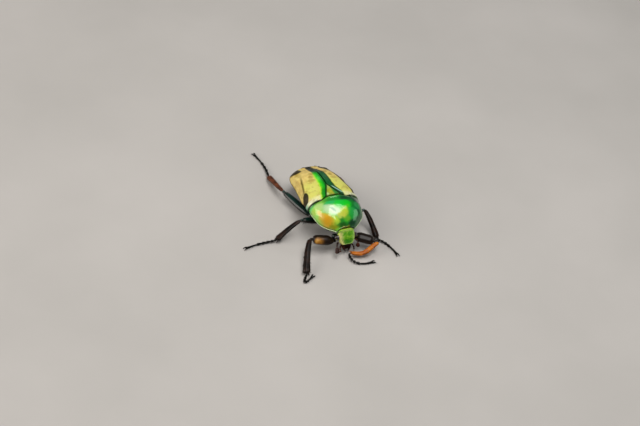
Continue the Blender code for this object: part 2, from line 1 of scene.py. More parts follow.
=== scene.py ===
"""Looks of the flower beetle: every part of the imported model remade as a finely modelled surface.

Shapes are worked out in millimetres on the body's own axes, X to the beetle's left, Y to its rear
and Z up from the floor, with Y zero at the middle of the shield's hind edge. piece() moves them to
the frame. A grid is an array of points in rows and columns, and a part is a closed skin of points
and faces, with three marks for each point that its finish may read.
"""

import bpy
import numpy as np
from mathutils import Matrix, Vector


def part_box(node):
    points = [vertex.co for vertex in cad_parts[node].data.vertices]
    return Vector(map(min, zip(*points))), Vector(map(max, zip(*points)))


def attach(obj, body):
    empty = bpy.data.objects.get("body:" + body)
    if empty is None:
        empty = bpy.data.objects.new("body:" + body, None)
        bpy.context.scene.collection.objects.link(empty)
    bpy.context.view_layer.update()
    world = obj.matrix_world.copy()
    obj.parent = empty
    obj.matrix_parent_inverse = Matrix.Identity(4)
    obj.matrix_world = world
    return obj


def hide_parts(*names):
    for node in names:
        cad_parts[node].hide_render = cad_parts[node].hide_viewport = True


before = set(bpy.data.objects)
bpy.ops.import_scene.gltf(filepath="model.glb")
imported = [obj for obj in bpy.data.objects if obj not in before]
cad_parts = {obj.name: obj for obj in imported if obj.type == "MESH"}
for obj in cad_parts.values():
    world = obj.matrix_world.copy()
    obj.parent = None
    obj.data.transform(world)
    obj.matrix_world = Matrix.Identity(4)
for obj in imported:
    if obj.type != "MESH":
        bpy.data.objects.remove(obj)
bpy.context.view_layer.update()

MM = 0.001
SHIELD_FRONT_CORNER_Y = -9.9
SHIELD_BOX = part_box("pronotum")
ORIGIN = np.array([(SHIELD_BOX[0].x + SHIELD_BOX[1].x) / 2, SHIELD_BOX[0].y - SHIELD_FRONT_CORNER_Y * MM, 0])

# The shield: value at each station from its hind edge (0) to its front edge (1).
SHIELD_LENGTH = 9.8
SHIELD_HALF_WIDTH = ((0, 7.15), (0.2, 7.1), (0.35, 6.95), (0.6, 6.3), (0.82, 4.5), (1, 2.5))
SHIELD_MARGIN_Z = ((0, 7.8), (0.15, 7.15), (0.35, 7.05), (0.6, 6.6), (0.82, 6.1), (1, 6.0))
SHIELD_CREST_Z = ((0, 10.3), (0.15, 11.1), (0.35, 11.2), (0.6, 10.45), (0.82, 9.1), (1, 7.2))
SHIELD_POWERS = (2.3, 1.9)
SHIELD_HIND_Y = ((0, 0.0), (0.15, 0.05), (0.3, -0.15), (0.45, -0.65), (0.6, -0.87), (0.8, -0.9), (1, -1.0))
SHIELD_FRONT_SWEEP = 0.1
SHIELD_THICKNESS = 0.45
SHIELD_PIT = (4.3, -4.6)
SMALL_PLATE_THICKNESS = 0.5

# The wing cases: value at each station from their front edge (0) to their tips (1).
CASE_FRONT_Y = 0.6
CASE_FRONT_EDGE = ((2, 0.0), (2.4, -0.1), (3.2, -0.5), (3.8, -0.66), (4.5, -0.5), (5.5, 0.3),
                   (6.5, 0.45), (7.1, 0.35))
CASE_LENGTH = 16.65
CASE_HALF_WIDTH = ((0, 7.05), (0.12, 7.6), (0.3, 7.15), (0.55, 6.6), (0.8, 6.2), (0.92, 5.75), (1, 4.4))
CASE_MARGIN_Z = ((0, 6.95), (0.12, 6.9), (0.3, 6.4), (0.55, 5.75), (0.8, 5.0), (0.92, 5.35), (1, 5.9))
CASE_CREST_Z = ((0, 10.6), (0.3, 10.64), (0.55, 10.1), (0.8, 8.1), (0.92, 7.0), (1, 6.5))
CASE_POWERS = (3.0, 1.7)
CASE_THICKNESS = 0.5
SEAM_HALF_GAP = 0.03
TIP_ROUNDING = 0.05
SCUTELLUM_HALF_WIDTH = 1.95
SCUTELLUM_TIP_Y = 4.55
SCUTELLUM_GAP = 0.14
SHOULDER_HALF_WIDTH = 6.95
SHOULDER_SIDE_Z = 7.35
SHOULDER_RISE, SHOULDER_DROP = 3.0, 1.3

# The head: upper and lower profile from the neck (0) to the lip of the face (1).
HEAD_POWERS = (4.5, 2.4)
HEAD_TOP_Y = ((0, -9.0), (0.12, -9.95), (0.25, -10.5), (0.5, -11.2), (0.8, -11.9), (1, -12.2))
HEAD_TOP_Z = ((0, 6.4), (0.12, 6.95), (0.25, 7.05), (0.5, 5.65), (0.8, 4.05), (1, 3.1))
HEAD_LOW_Y = ((0, -8.95), (0.25, -9.05), (0.5, -9.9), (0.8, -11.2), (1, -11.95))
HEAD_LOW_Z = ((0, 4.8), (0.25, 4.5), (0.5, 3.9), (0.8, 3.1), (1, 2.85))
HEAD_HALF_WIDTH = ((0, 1.6), (0.12, 1.9), (0.25, 2.2), (0.5, 2.35), (0.65, 2.25), (0.8, 1.95), (1, 1.2))
EYE_PLACE = (2.48, -10.6, 4.72)
EYE_RADII = (0.8, 0.78, 0.8)
EYE_SINK = 0.25
BROW = ((2.05, -11.0, 4.85), (3.12, -11.12, 4.6))
LEAF_RADII = ((0, 0.16), (0.35, 0.38), (0.75, 0.42), (1, 0.3))
FEELER_ROOT = (2.75, -11.35, 3.75)

# The mouth, each side alike: places that a lobe bends along, and those of each feeler of the mouth
# with its number of points, radius and number of joints. Then the elbow and the end of both feelers.
LOBE = ((0.9, -11.3, 2.6), (1.05, -11.9, 2.0), (0.5, -11.9, 1.2))
MOUTH_FEELERS = (
    (((1.35, -11.2, 2.5), (2.2, -11.9, 2.3), (1.9, -12.5, 1.2)), 40, 0.21, 4),
    (((0.5, -11.6, 1.9), (0.75, -12.2, 1.7), (0.6, -12.3, 1.0)), 30, 0.14, 3),
)
FEELERS = {"left": ((3.1, -12.1, 3.2), (2.8, -12.7, 2.0)), "right": ((3.1, -12.3, 3.1), (3.4, -13.7, 1.9))}

# The underside: lowest height of the fore body, the breast and the belly along the body.
FORE_BODY_Y = (-8.3, -1.0)
FORE_BODY_LOW_Z = ((-8.3, 4.5), (-6.5, 4.35), (-4.5, 4.1), (-1.0, 4.3))
BREAST_Y = (-0.95, 4.1)
BREAST_LOW_Z = ((-0.95, 4.1), (0.2, 3.7), (1.1, 3.05), (1.7, 3.15), (2.7, 4.1), (3.9, 4.15), (4.1, 4.15))
BELLY_Y = (4.0, 15.3)
BELLY_LOW_Z = ((4.0, 4.05), (8, 4.0), (12, 3.75), (15.3, 3.65))
BELLY_PLATES = 5
TRUNK_INSET = 0.75
FORE_BODY_INSET = 0.35
FORE_BODY_SHIFT = 0.2
FORE_BODY_POWERS = (2.3, 1.8)
BREAST_KNOB = ((0, 1.6, 3.15), (0, -1.6, 3.35))
PYGIDIUM_Y = (15.3, 18.1)
PYGIDIUM_HALF_WIDTH = 4.25
PYGIDIUM_Z = 4.6

# Each leg: where it leaves its hip, then knee, end of the shin, bend of the foot and its tip.
LEGS = {
    "front_right": ((-1.7, -7.8, 3.4), (-2.8, -9.8, 3.1), (-9.0, -8.6, 4.0), (-13.75, -17.6, 0.85),
                    (-17.1, -21.8, 0.3), (-12.5, -18.6, 0.3)),
    "front_left": ((1.7, -7.6, 3.4), (2.7, -9.2, 3.3), (8.3, -13.1, 2.9), (0.7, -13.6, 1.3),
                   (-0.8, -18.0, 0.3), (5.2, -17.6, 0.3)),
    "middle_right": ((-1.5, -0.6, 3.3), (-2.9, -0.9, 3.0), (-8.8, -1.2, 4.4), (-16.4, -3.0, 0.9),
                     (-20.8, -2.4, 0.3), (-25.0, -3.4, 0.3)),
    "middle_left": ((1.5, -0.6, 3.3), (2.9, -0.9, 3.0), (9.1, -1.4, 4.2), (10.0, -9.4, 0.9),
                    (12.4, -11.2, 0.3), (12.9, -16.3, 0.3)),
    "hind_right": ((-1.4, 3.4, 3.4), (-4.6, 2.3, 2.2), (-8.2, 12.9, 2.8), (-8.8, 21.9, 1.0),
                   (-7.5, 27.6, 0.3), (-8.9, 32.9, 0.3)),
    "hind_left": ((1.4, 3.4, 3.4), (4.4, 2.6, 2.2), (9.0, 11.6, 3.0), (7.8, 20.0, 1.0),
                  (7.2, 24.4, 0.3), (2.6, 23.6, 0.3)),
}
HIP_RADII = ((0, 0.5), (0.35, 0.95), (0.7, 0.85), (1, 0.45))
THIGH_RADII = ((0, 0.4), (0.12, 0.78), (0.4, 1.15), (0.75, 0.9), (0.92, 0.68), (1, 0.5))
FRONT_THIGH_RADII = ((0, 0.4), (0.12, 0.85), (0.4, 1.55), (0.75, 1.45), (0.92, 0.95), (1, 0.5))
THIGH_DEPTH = 0.75
SHIN_RADII = ((0, 0.36), (0.1, 0.55), (0.3, 0.66), (0.7, 0.76), (0.94, 0.86), (1, 0.6))
DIGGING_RADII = ((0, 0.42), (0.1, 0.68), (0.3, 0.78), (0.7, 0.88), (0.92, 1.0), (1, 0.75))
FOLDED_RADII = ((0, 0.38), (0.1, 0.58), (0.3, 0.68), (0.7, 0.66), (0.92, 0.62), (1, 0.45))
FOOT_STATIONS = (0, 0.16, 0.31, 0.46, 0.63, 1)
FOOT_RADIUS = 0.4
FOOT_JOINT = ((0, 0.5), (0.3, 0.62), (0.85, 1), (1, 0.85))
LAST_JOINT = ((0, 0.5), (0.6, 0.6), (0.9, 0.85), (1, 0.7))
CLAW_LENGTH = 1.0
FOOT_GAP = 0.4
FOOT_ROOM = 0.55
HIP_GAP = 0.6
HIP_TRIM = 0.12
KNEE_REACH = 0.4
KNEE_TRIM = 0.25
KNEE_ROOM = 0.8
SHIN_BOW = (0.3, 0.8)
FOLDED_LEG = "front_left"
FOLDED_SHIN_BOW = (1.25, 1.5)
SHIN_DEPTH = 0.72
DIGGING_DEPTH = 0.6
TOOTH_STATIONS = (0.52, 0.74, 0.94)
HAIR_DROOP = 0.15
HAIR_SPAN = (0.1, 0.95)
HAIR_RADIUS = 0.028

# The camera: compass turn, height and tilt in degrees, distance and nearest view in metres, where it
# aims and its lens in millimetres.
VIEW_TURN, VIEW_HEIGHT, VIEW_TILT = -28.0, 39.8, 8.3
VIEW_DISTANCE = 0.5
VIEW_AIM = (-2.30, 3.08)
LENS, SENSOR_WIDTH = 104.06, 36.0
NEAREST = 0.01
FLOOR_HALF_SIZE = 6.0

# Each light: direction from the beetle, distance and size in metres, power in watts and colour. All
# of them aim at one height above the floor and are tilted by one number of degrees.
LIGHT_AIM_Z = 8
LIGHT_TILT = 45
LIGHTS = {
    "key": ((0.02, -0.20, 1.0), 0.40, (0.40, 0.22), 1.25, (1.0, 0.98, 0.95)),
    "back": ((0.35, 0.95, 0.55), 0.60, (0.10, 0.06), 0.2, (1.0, 0.98, 0.92)),
    "fill_right": ((-0.88, 0.28, 0.52), 0.60, (0.46, 0.36), 1.9, (1.0, 0.96, 0.90)),
    "fill_left": ((0.95, -0.25, 0.35), 0.60, (0.34, 0.26), 0.42, (0.92, 1.0, 0.97)),
}
SKY_COLOUR = (0.85, 0.92, 1.0, 1)
SKY_STRENGTH = 0.11

# Colours across the shield from its right edge (0) to its left edge (1), and the width they span: its own
# green, painted paler where light falls on the right and darker in painted shade on the left.
SHIELD_GREENS_LIT_TO_SHADED = ((0.05, (0.34, 0.70, 0.12)), (0.3, (0.22, 0.62, 0.05)), (0.5, (0.03, 0.52, 0.02)),
                 (0.66, (0.003, 0.34, 0.03)), (0.8, (0.002, 0.20, 0.05)), (1.0, (0.001, 0.12, 0.04)))
SHADES_WIDTH = 14.4

# Patches of colour on the shield, each laid over those before it: colour, middle on the body's X and
# Y, half sizes and turn in degrees. Many are painted light: shade on the left, a gold sheen on the
# right front, and a white highlight across the right with a reflection inside it.
SHIELD_PATCHES_AND_PAINTED_LIGHT = (
    ((0.006, 0.28, 0.025), (-0.9, -2.3), (4.0, 1.9), 0),
    # Painted shade over the left half of the shield, in this patch and the next.
    ((0.001, 0.05, 0.014), (2.4, -2.5), (2.5, 1.8), 0),
    ((0.001, 0.065, 0.022), (5.1, -2.9), (2.6, 2.2), 0),
    ((0.003, 0.24, 0.02), (3.4, -4.4), (1.7, 1.9), 0),
    ((0.006, 0.62, 0.04), (0.5, -4.1), (2.8, 1.7), 0),
    ((0.002, 0.60, 0.01), (2.0, -4.6), (1.7, 1.6), 0),
    ((0.02, 0.52, 0.12), (-2.6, -3.5), (2.2, 1.1), 0),
    ((0.50, 0.75, 0.24), (-5.5, -3.1), (1.9, 1.5), 20),
    ((0.14, 0.75, 0.18), (-6.8, -1.4), (1.4, 1.5), 0),
    ((0.40, 0.66, 0.08), (-6.5, -3.2), (0.9, 1.5), 0),
    # Painted white highlight across the right, then a painted reflection inside it.
    ((0.64, 0.84, 0.54), (-2.4, -5.6), (3.7, 1.7), -37),
    ((0.28, 0.46, 0.30), (-2.2, -5.5), (1.1, 0.6), -37),
    ((0.05, 0.58, 0.004), (1.7, -5.5), (1.3, 1.0), 0),
    ((0.50, 0.66, 0.04), (0.7, -6.5), (1.7, 1.5), 0),
    ((0.02, 0.42, 0.04), (2.5, -6.8), (1.1, 1.5), 0),
    ((0.58, 0.64, 0.06), (-0.3, -7.3), (1.7, 1.2), 0),
    ((0.14, 0.46, 0.02), (1.0, -8.2), (1.4, 0.9), 0),
    ((0.02, 0.27, 0.02), (-0.9, -8.5), (1.1, 0.9), 0),
    ((0.52, 0.72, 0.05), (-2.3, -8.1), (1.4, 1.0), -20),
    # Painted gold sheen on the right front, in this patch and the next two.
    ((0.80, 0.38, 0.010), (-4.5, -7.1), (2.7, 1.4), -50),
    ((0.74, 0.50, 0.08), (-5.6, -5.3), (2.1, 0.9), -68),
    ((0.30, 0.33, 0.006), (-3.2, -8.9), (2.2, 0.6), -28),
    ((0.01, 0.10, 0.006), (-0.6, -9.3), (1.9, 0.7), 0),
    # Painted shade on the left front, in this patch and the next, and below along the left edge.
    ((0.005, 0.03, 0.012), (2.2, -9.3), (2.2, 1.1), 15),
    ((0.008, 0.08, 0.016), (4.6, -7.8), (2.1, 1.5), 50),
    ((0.02, 0.38, 0.07), (3.4, -6.9), (1.3, 1.3), 0),
    ((0.03, 0.32, 0.08), (5.2, -4.9), (1.3, 1.5), 0),
    ((0.005, 0.10, 0.03), (6.4, -5.0), (1.0, 2.6), 10),
    ((0.30, 0.24, 0.01), (0.0, -9.85), (1.7, 0.45), 0),
)

# The wing cases: half width of the green patch along the seam, at shares of a length behind the
# shield, and brown smudges, each with its middle, half sizes and strength.
GREEN_LENGTH = 18
GREEN_HALF_WIDTH = ((0.0, 3.3), (0.07, 2.95), (0.17, 2.2), (0.28, 1.95), (0.5, 1.85), (0.61, 1.7),
                    (0.75, 1.4), (0.95, 1.0))
SMUDGES = (((2.8, 8.8), (0.9, 1.0), 0.6), ((3.1, 7.1), (1.2, 0.8), 0.45),
           ((4.6, 13), (0.8, 2.6), 0.4), ((2.2, 10.6), (0.8, 1.0), 0.5))
SMUDGE_BROWN = (0.32, 0.21, 0.02)


# Curves of numbers.


def smooth(stations, t):
    """Rising or falling steadily between stations: a cubic whose slopes never overshoot."""
    at, value = (np.array(column, float) for column in zip(*stations))
    step = np.diff(at)
    pitch = np.diff(value) / step
    slope = np.zeros_like(value)
    both = pitch[:-1] * pitch[1:] > 0
    before = 2 * step[1:] + step[:-1]
    after = step[1:] + 2 * step[:-1]
    safe = np.where(both, pitch[:-1] * pitch[1:], 1)
    mean = (before + after) * safe / (before * pitch[1:] + after * pitch[:-1] + (~both))
    slope[1:-1] = np.where(both, mean, 0)
    slope[0], slope[-1] = pitch[0], pitch[-1]
    t = np.clip(np.asarray(t, float), at[0], at[-1])
    k = np.clip(np.searchsorted(at, t, side="right") - 1, 0, len(step) - 1)
    s = (t - at[k]) / step[k]
    start = value[k] * (1 + 2 * s) * (1 - s) ** 2 + slope[k] * step[k] * s * (1 - s) ** 2
    end = value[k + 1] * s * s * (3 - 2 * s) + slope[k + 1] * step[k] * s * s * (s - 1)
    return start + end


def bell(value, middle, width):
    """Bump from 0 to 1: e to the power of minus the squared distance from the middle, in widths."""
    return np.exp(-(((value - middle) / width) ** 2))


def rise(value, start, end):
    """Smooth step from 0 at start to 1 at end: 3 t squared minus 2 t cubed."""
    t = np.clip((value - start) / (end - start), 0, 1)
    return t * t * (3 - 2 * t)


def eased(count, share=0.6):
    """Numbers from 0 to 1, closer together at both ends: even steps mixed with (1 - cosine) / 2."""
    even = np.linspace(0, 1, count)
    return (1 - share) * even + share * (1 - np.cos(np.pi * even)) / 2


def between(span, share):
    """Numbers that lie at the given shares of the way from the start of a span to its end."""
    return span[0] + (span[1] - span[0]) * share


def angles(count):
    """Even angles round a full turn, the last one step short of the first."""
    return np.linspace(0, 2 * np.pi, count, endpoint=False)


def arch(angle, powers):
    """Point on a unit arch |across| ** a + |up| ** b = 1, where 0 is one foot and pi the other."""
    across = np.sign(np.cos(angle)) * np.abs(np.cos(angle)) ** (2 / powers[0])
    up = np.abs(np.sin(angle)) ** (2 / powers[1])
    return across, up


def oval(half_width, top, side, low, count, powers, low_powers=None):
    """Closed ring with an arch above the side level and another below it: x and z of each point."""
    angle = angles(count)
    upper = np.sin(angle) >= 0
    across, up = arch(angle, powers)
    across_low, down = arch(angle, low_powers or powers)
    z = np.where(upper, side + (top - side) * up, side - (side - low) * down)
    return half_width * np.where(upper, across, across_low), z


# Grids of points and closed parts.


def grid_of(x, y, z):
    """Points from their three coordinates, each of which is repeated where the others are longer."""
    return np.stack(np.broadcast_arrays(x, y, z), -1)


def unit(vectors):
    """Vectors of length one in the same directions."""
    vectors = np.asarray(vectors, float)
    return vectors / np.linalg.norm(vectors, axis=-1, keepdims=True)


def grid_normals(grid):
    """Directions square to a grid: cross product of its steps along a row and down a column."""
    return unit(np.cross(np.gradient(grid, axis=1), np.gradient(grid, axis=0)))


def edge_ways(grid):
    """Length along the surface from each grid point to the first row, last row, first and last column."""
    ways = []
    for axis in (0, 1):
        step = np.linalg.norm(np.diff(grid, axis=axis), axis=2)
        start = np.zeros_like(step.take([0], axis))
        way = np.concatenate([start, np.cumsum(step, axis)], axis)
        ways += [way, way.take([-1], axis) - way]
    return ways


def plate(grid, thickness, marks=(0, 0, 0)):
    """Closed plate with the grid as its outer face and an inner face one thickness below it.
    Near each edge both faces curve to meet half way, as a quarter circle does."""
    rows, columns = grid.shape[:2]
    reach = np.min(edge_ways(grid), axis=0)
    curve = np.sqrt(1 - np.clip(1 - 2 * reach / thickness, 0, 1) ** 2)[..., None]
    half = grid_normals(grid) * thickness / 2
    outer = grid - half + half * curve
    inner = grid - half - half * curve
    upper_index = np.arange(rows * columns).reshape(rows, columns)
    lower_index = upper_index.copy()
    lower_index[1:-1, 1:-1] = rows * columns + np.arange((rows - 2) * (columns - 2)).reshape(rows - 2, -1)
    faces = []
    for index in (upper_index, lower_index[:, ::-1]):
        corners = (index[:-1, :-1], index[:-1, 1:], index[1:, 1:], index[1:, :-1])
        faces += np.stack(corners, -1).reshape(-1, 4).tolist()
    points = np.concatenate([outer.reshape(-1, 3), inner[1:-1, 1:-1].reshape(-1, 3)])
    marks = np.stack([mark * np.ones((rows, columns)) for mark in marks], -1)
    marks = np.concatenate([marks.reshape(-1, 3), marks[1:-1, 1:-1].reshape(-1, 3)])
    return points, faces, marks


def tube(rings, marks=(0, 0, 0)):
    """Closed body whose rings are the rows of a grid. The first and last rings shrink to their middles."""
    rows, count = rings.shape[0] - 2, rings.shape[1]
    index = np.arange(rows * count).reshape(rows, count)
    after = np.roll(index, -1, axis=1)
    faces = np.stack([index[:-1], after[:-1], after[1:], index[1:]], -1).reshape(-1, 4).tolist()
    start, end = rows * count, rows * count + 1
    faces += [(start, b, a) for a, b in zip(index[0].tolist(), after[0].tolist())]
    faces += [(end, a, b) for a, b in zip(index[-1].tolist(), after[-1].tolist())]
    flat = [rings[1:-1].reshape(-1, 3), rings[0].mean(axis=0)[None], rings[-1].mean(axis=0)[None]]
    marks = np.stack([mark * np.ones(rings.shape[:2]) for mark in marks], -1)
    flat_marks = [marks[1:-1].reshape(-1, 3), marks[:1, 0], marks[-1:, 0]]
    return np.concatenate(flat), faces, np.concatenate(flat_marks)


def mirrored(part):
    """The same part on the other side of the body."""
    points, faces, marks = part
    return points * (-1, 1, 1), faces, marks


def line(start, end, count, trim_start=0.0, trim_end=0.0):
    """Evenly eased points from start to end, each end drawn back by its trim."""
    start, end = np.array(start, float), np.array(end, float)
    way = unit(end - start)
    t = eased(count)[:, None]
    return start + way * trim_start + (end - start - way * (trim_start + trim_end)) * t


def bend(start, middle, end, count, share=0.6):
    """Quadratic curve from start to end that is drawn towards its middle point."""
    t = eased(count, share)[:, None]
    start, middle, end = (np.array(p, float) for p in (start, middle, end))
    return start * (1 - t) ** 2 + middle * 2 * t * (1 - t) + end * t ** 2


def frame_along(path):
    """Tangent, sideways and upward directions at each point of a path that is never upright."""
    tangent = unit(np.gradient(path, axis=0))
    side = unit(np.cross(tangent, (0, 0, 1)))
    return tangent, side, np.cross(side, tangent)


def shares(path):
    """Distance of each point of a path from its start, as a share of that of its end."""
    away = np.linalg.norm(path - path[0], axis=1)
    return away / away[-1]


def rounded(path, reach):
    """1 along the middle of a path, falling to 0 at both ends as a circle of that reach does."""
    step = np.linalg.norm(np.diff(path, axis=0), axis=1)
    way = np.concatenate([[0], np.cumsum(step)])
    near = np.minimum(way, way[-1] - way)
    return np.sqrt(1 - np.clip(1 - near / reach, 0, 1) ** 2)


def closed_ends(rings, reach):
    """Rings whose first and last rows shrink towards their middles as a quarter circle does."""
    middle = rings.mean(axis=1, keepdims=True)
    return middle + (rings - middle) * rounded(middle[:, 0], reach)[:, None, None]


def limb_rings(path, width, depth, count, carve=0.0):
    """Rings square to a path. A ring is an oval of the given half width and half depth whose radius
    grows by the share carve, an array of rows and columns; nothing goes below the floor."""
    _, side, up = frame_along(path)
    angle = angles(count)
    grow = (1 + carve) * np.ones((len(path), count))
    across = (grow * np.cos(angle) * np.reshape(width, (-1, 1)))[..., None] * side[:, None]
    lift = (grow * np.sin(angle) * np.reshape(depth, (-1, 1)))[..., None] * up[:, None]
    rings = path[:, None] + across + lift
    rings[..., 2] = np.maximum(rings[..., 2], 0)
    return rings


def limb(path, radius, depth_ratio=1.0, count=16, carve=0.0, reach=None):
    """Closed rounded limb along a path, with marks of how far along it and round it each point is."""
    radius = radius * np.ones(len(path))
    width = radius * rounded(path, reach or radius.max() * 0.8)
    t = np.linspace(0, 1, len(path))[:, None]
    angle = np.linspace(0, 1, count, endpoint=False)
    return tube(limb_rings(path, width, width * depth_ratio, count, carve), (t, angle, 0))


def spike(base, tip, radius, lean=0, count=8, lowest=0):
    """Pointed spine from base to tip, bulging towards lean: its radius falls as a quarter sine. Its
    tip is no lower than the lowest height."""
    tip[2] = max(tip[2], lowest)
    middle = (base + tip) / 2 + lean
    path = bend(base, middle, tip, 10)
    taper = np.sin(np.pi / 2 * (1 - np.linspace(0, 1, len(path)))) ** 0.8 + 0.02
    return tube(limb_rings(path, radius * taper, radius * taper, count), (1, 0, 1))


def bristles(roots, ways, length, radius, seed):
    """Fine hairs: three-sided spikes that start at the roots, follow the ways and droop under their
    own weight, each of its own length. Their faces are repeated from one pattern."""
    chance = np.random.default_rng(seed)
    count, levels = len(roots), 4
    size = length * chance.uniform(0.6, 1.15, count)[:, None]
    ways = unit(unit(ways) + chance.normal(0, 0.16, (count, 3)))
    side = unit(np.cross(ways, (0.31, 0.17, 0.94)))
    up = np.cross(side, ways)
    turn = np.radians((0, 120, 240))[:, None, None]
    ring = np.cos(turn) * side + np.sin(turn) * up
    droop = np.array((0, 0, HAIR_DROOP)) * size
    rows = []
    for t in np.linspace(0, 0.8, levels):
        rows.append(roots + ways * size * t - droop * t * t + ring * radius * (1 - t))
    tip = roots + ways * size - droop
    points = np.concatenate([np.concatenate(rows), tip[None]]).transpose(1, 0, 2)
    points[..., 2] = np.maximum(points[..., 2], 0)
    pattern = [(0, 2, 1)]
    sides = [(k, (k + 1) % 3) for k in range(3)]
    for low in range(0, 3 * (levels - 1), 3):
        pattern += [(low + a, low + b, low + 3 + a) for a, b in sides]
        pattern += [(low + b, low + 3 + b, low + 3 + a) for a, b in sides]
    last = 3 * (levels - 1)
    pattern += [(last + a, last + b, last + 3) for a, b in sides]
    per_hair = 3 * levels + 1
    faces = (np.array(pattern)[None] + np.arange(count)[:, None, None] * per_hair).reshape(-1, 3)
    return points.reshape(-1, 3), faces.tolist(), np.zeros((count * per_hair, 3))


def signed_volume(points, faces):
    """Volume inside closed faces, negative if they point inwards: corner fans from each first corner."""
    total = 0.0
    for size in (3, 4):
        chosen = np.array([f for f in faces if len(f) == size])
        for k in range(1, size - 1) if len(chosen) else ():
            a, b, c = (points[chosen[:, j]] for j in (0, k, k + 1))
            total += np.einsum("ij,ij->", a, np.cross(b, c))
    return total / 6


def add_object(name, data):
    """New object of the scene that shows a mesh, a light or a camera."""
    made = bpy.data.objects.new(name, data)
    bpy.context.collection.objects.link(made)
    return made


def piece(name, parts, finish, slot, *nodes):
    """One object from closed parts, facing outwards, that rides on the body and stands for CAD nodes."""
    points, faces, marks, start = [], [], [], 0
    for part_points, part_faces, part_marks in parts:
        turn = -1 if signed_volume(part_points, part_faces) < 0 else 1
        faces += [[start + k for k in face[::turn]] for face in part_faces]
        points.append(part_points)
        marks.append(part_marks)
        start += len(part_points)
    mesh = bpy.data.meshes.new(name)
    mesh.from_pydata((np.concatenate(points) * MM + ORIGIN).tolist(), [], faces)
    marking = mesh.attributes.new("marks", "FLOAT_VECTOR", "POINT")
    marking.data.foreach_set("vector", np.concatenate(marks).astype(np.float32).ravel())
    mesh.shade_smooth()
    mesh.materials.append(finish)
    made = add_object(name, mesh)
    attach(made, "root")
    if nodes:
        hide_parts(*nodes)


def mirror_pair(name, part, finish, slot, node):
    """Two pieces: the part on the left of the body and its mirror image on the right."""
    piece(name + "_left", [part], finish, slot, node + "_left")
    piece(name + "_right", [mirrored(part)], finish, slot, node + "_right")


# Finishes.


def joined(operation, swapped=False):
    """Method of a Num that joins it and another value in a Math node."""
    def method(number, other):
        values = (other, number) if swapped else (number, other)
        return number.finish.math(operation, *values)
    return method


class Num:
    """A number that changes over a surface. Arithmetic on it adds Math nodes to its finish."""

    def __init__(self, finish, socket):
        """Keep the finish that the number belongs to and the socket that gives it."""
        self.finish = finish
        self.socket = socket

    def __abs__(self):
        """Its size without its sign."""
        return self.finish.math("ABSOLUTE", self)

    __add__ = __radd__ = joined("ADD")
    __mul__ = __rmul__ = joined("MULTIPLY")
    __truediv__ = joined("DIVIDE")
    __sub__ = joined("SUBTRACT")
    __rsub__ = joined("SUBTRACT", swapped=True)


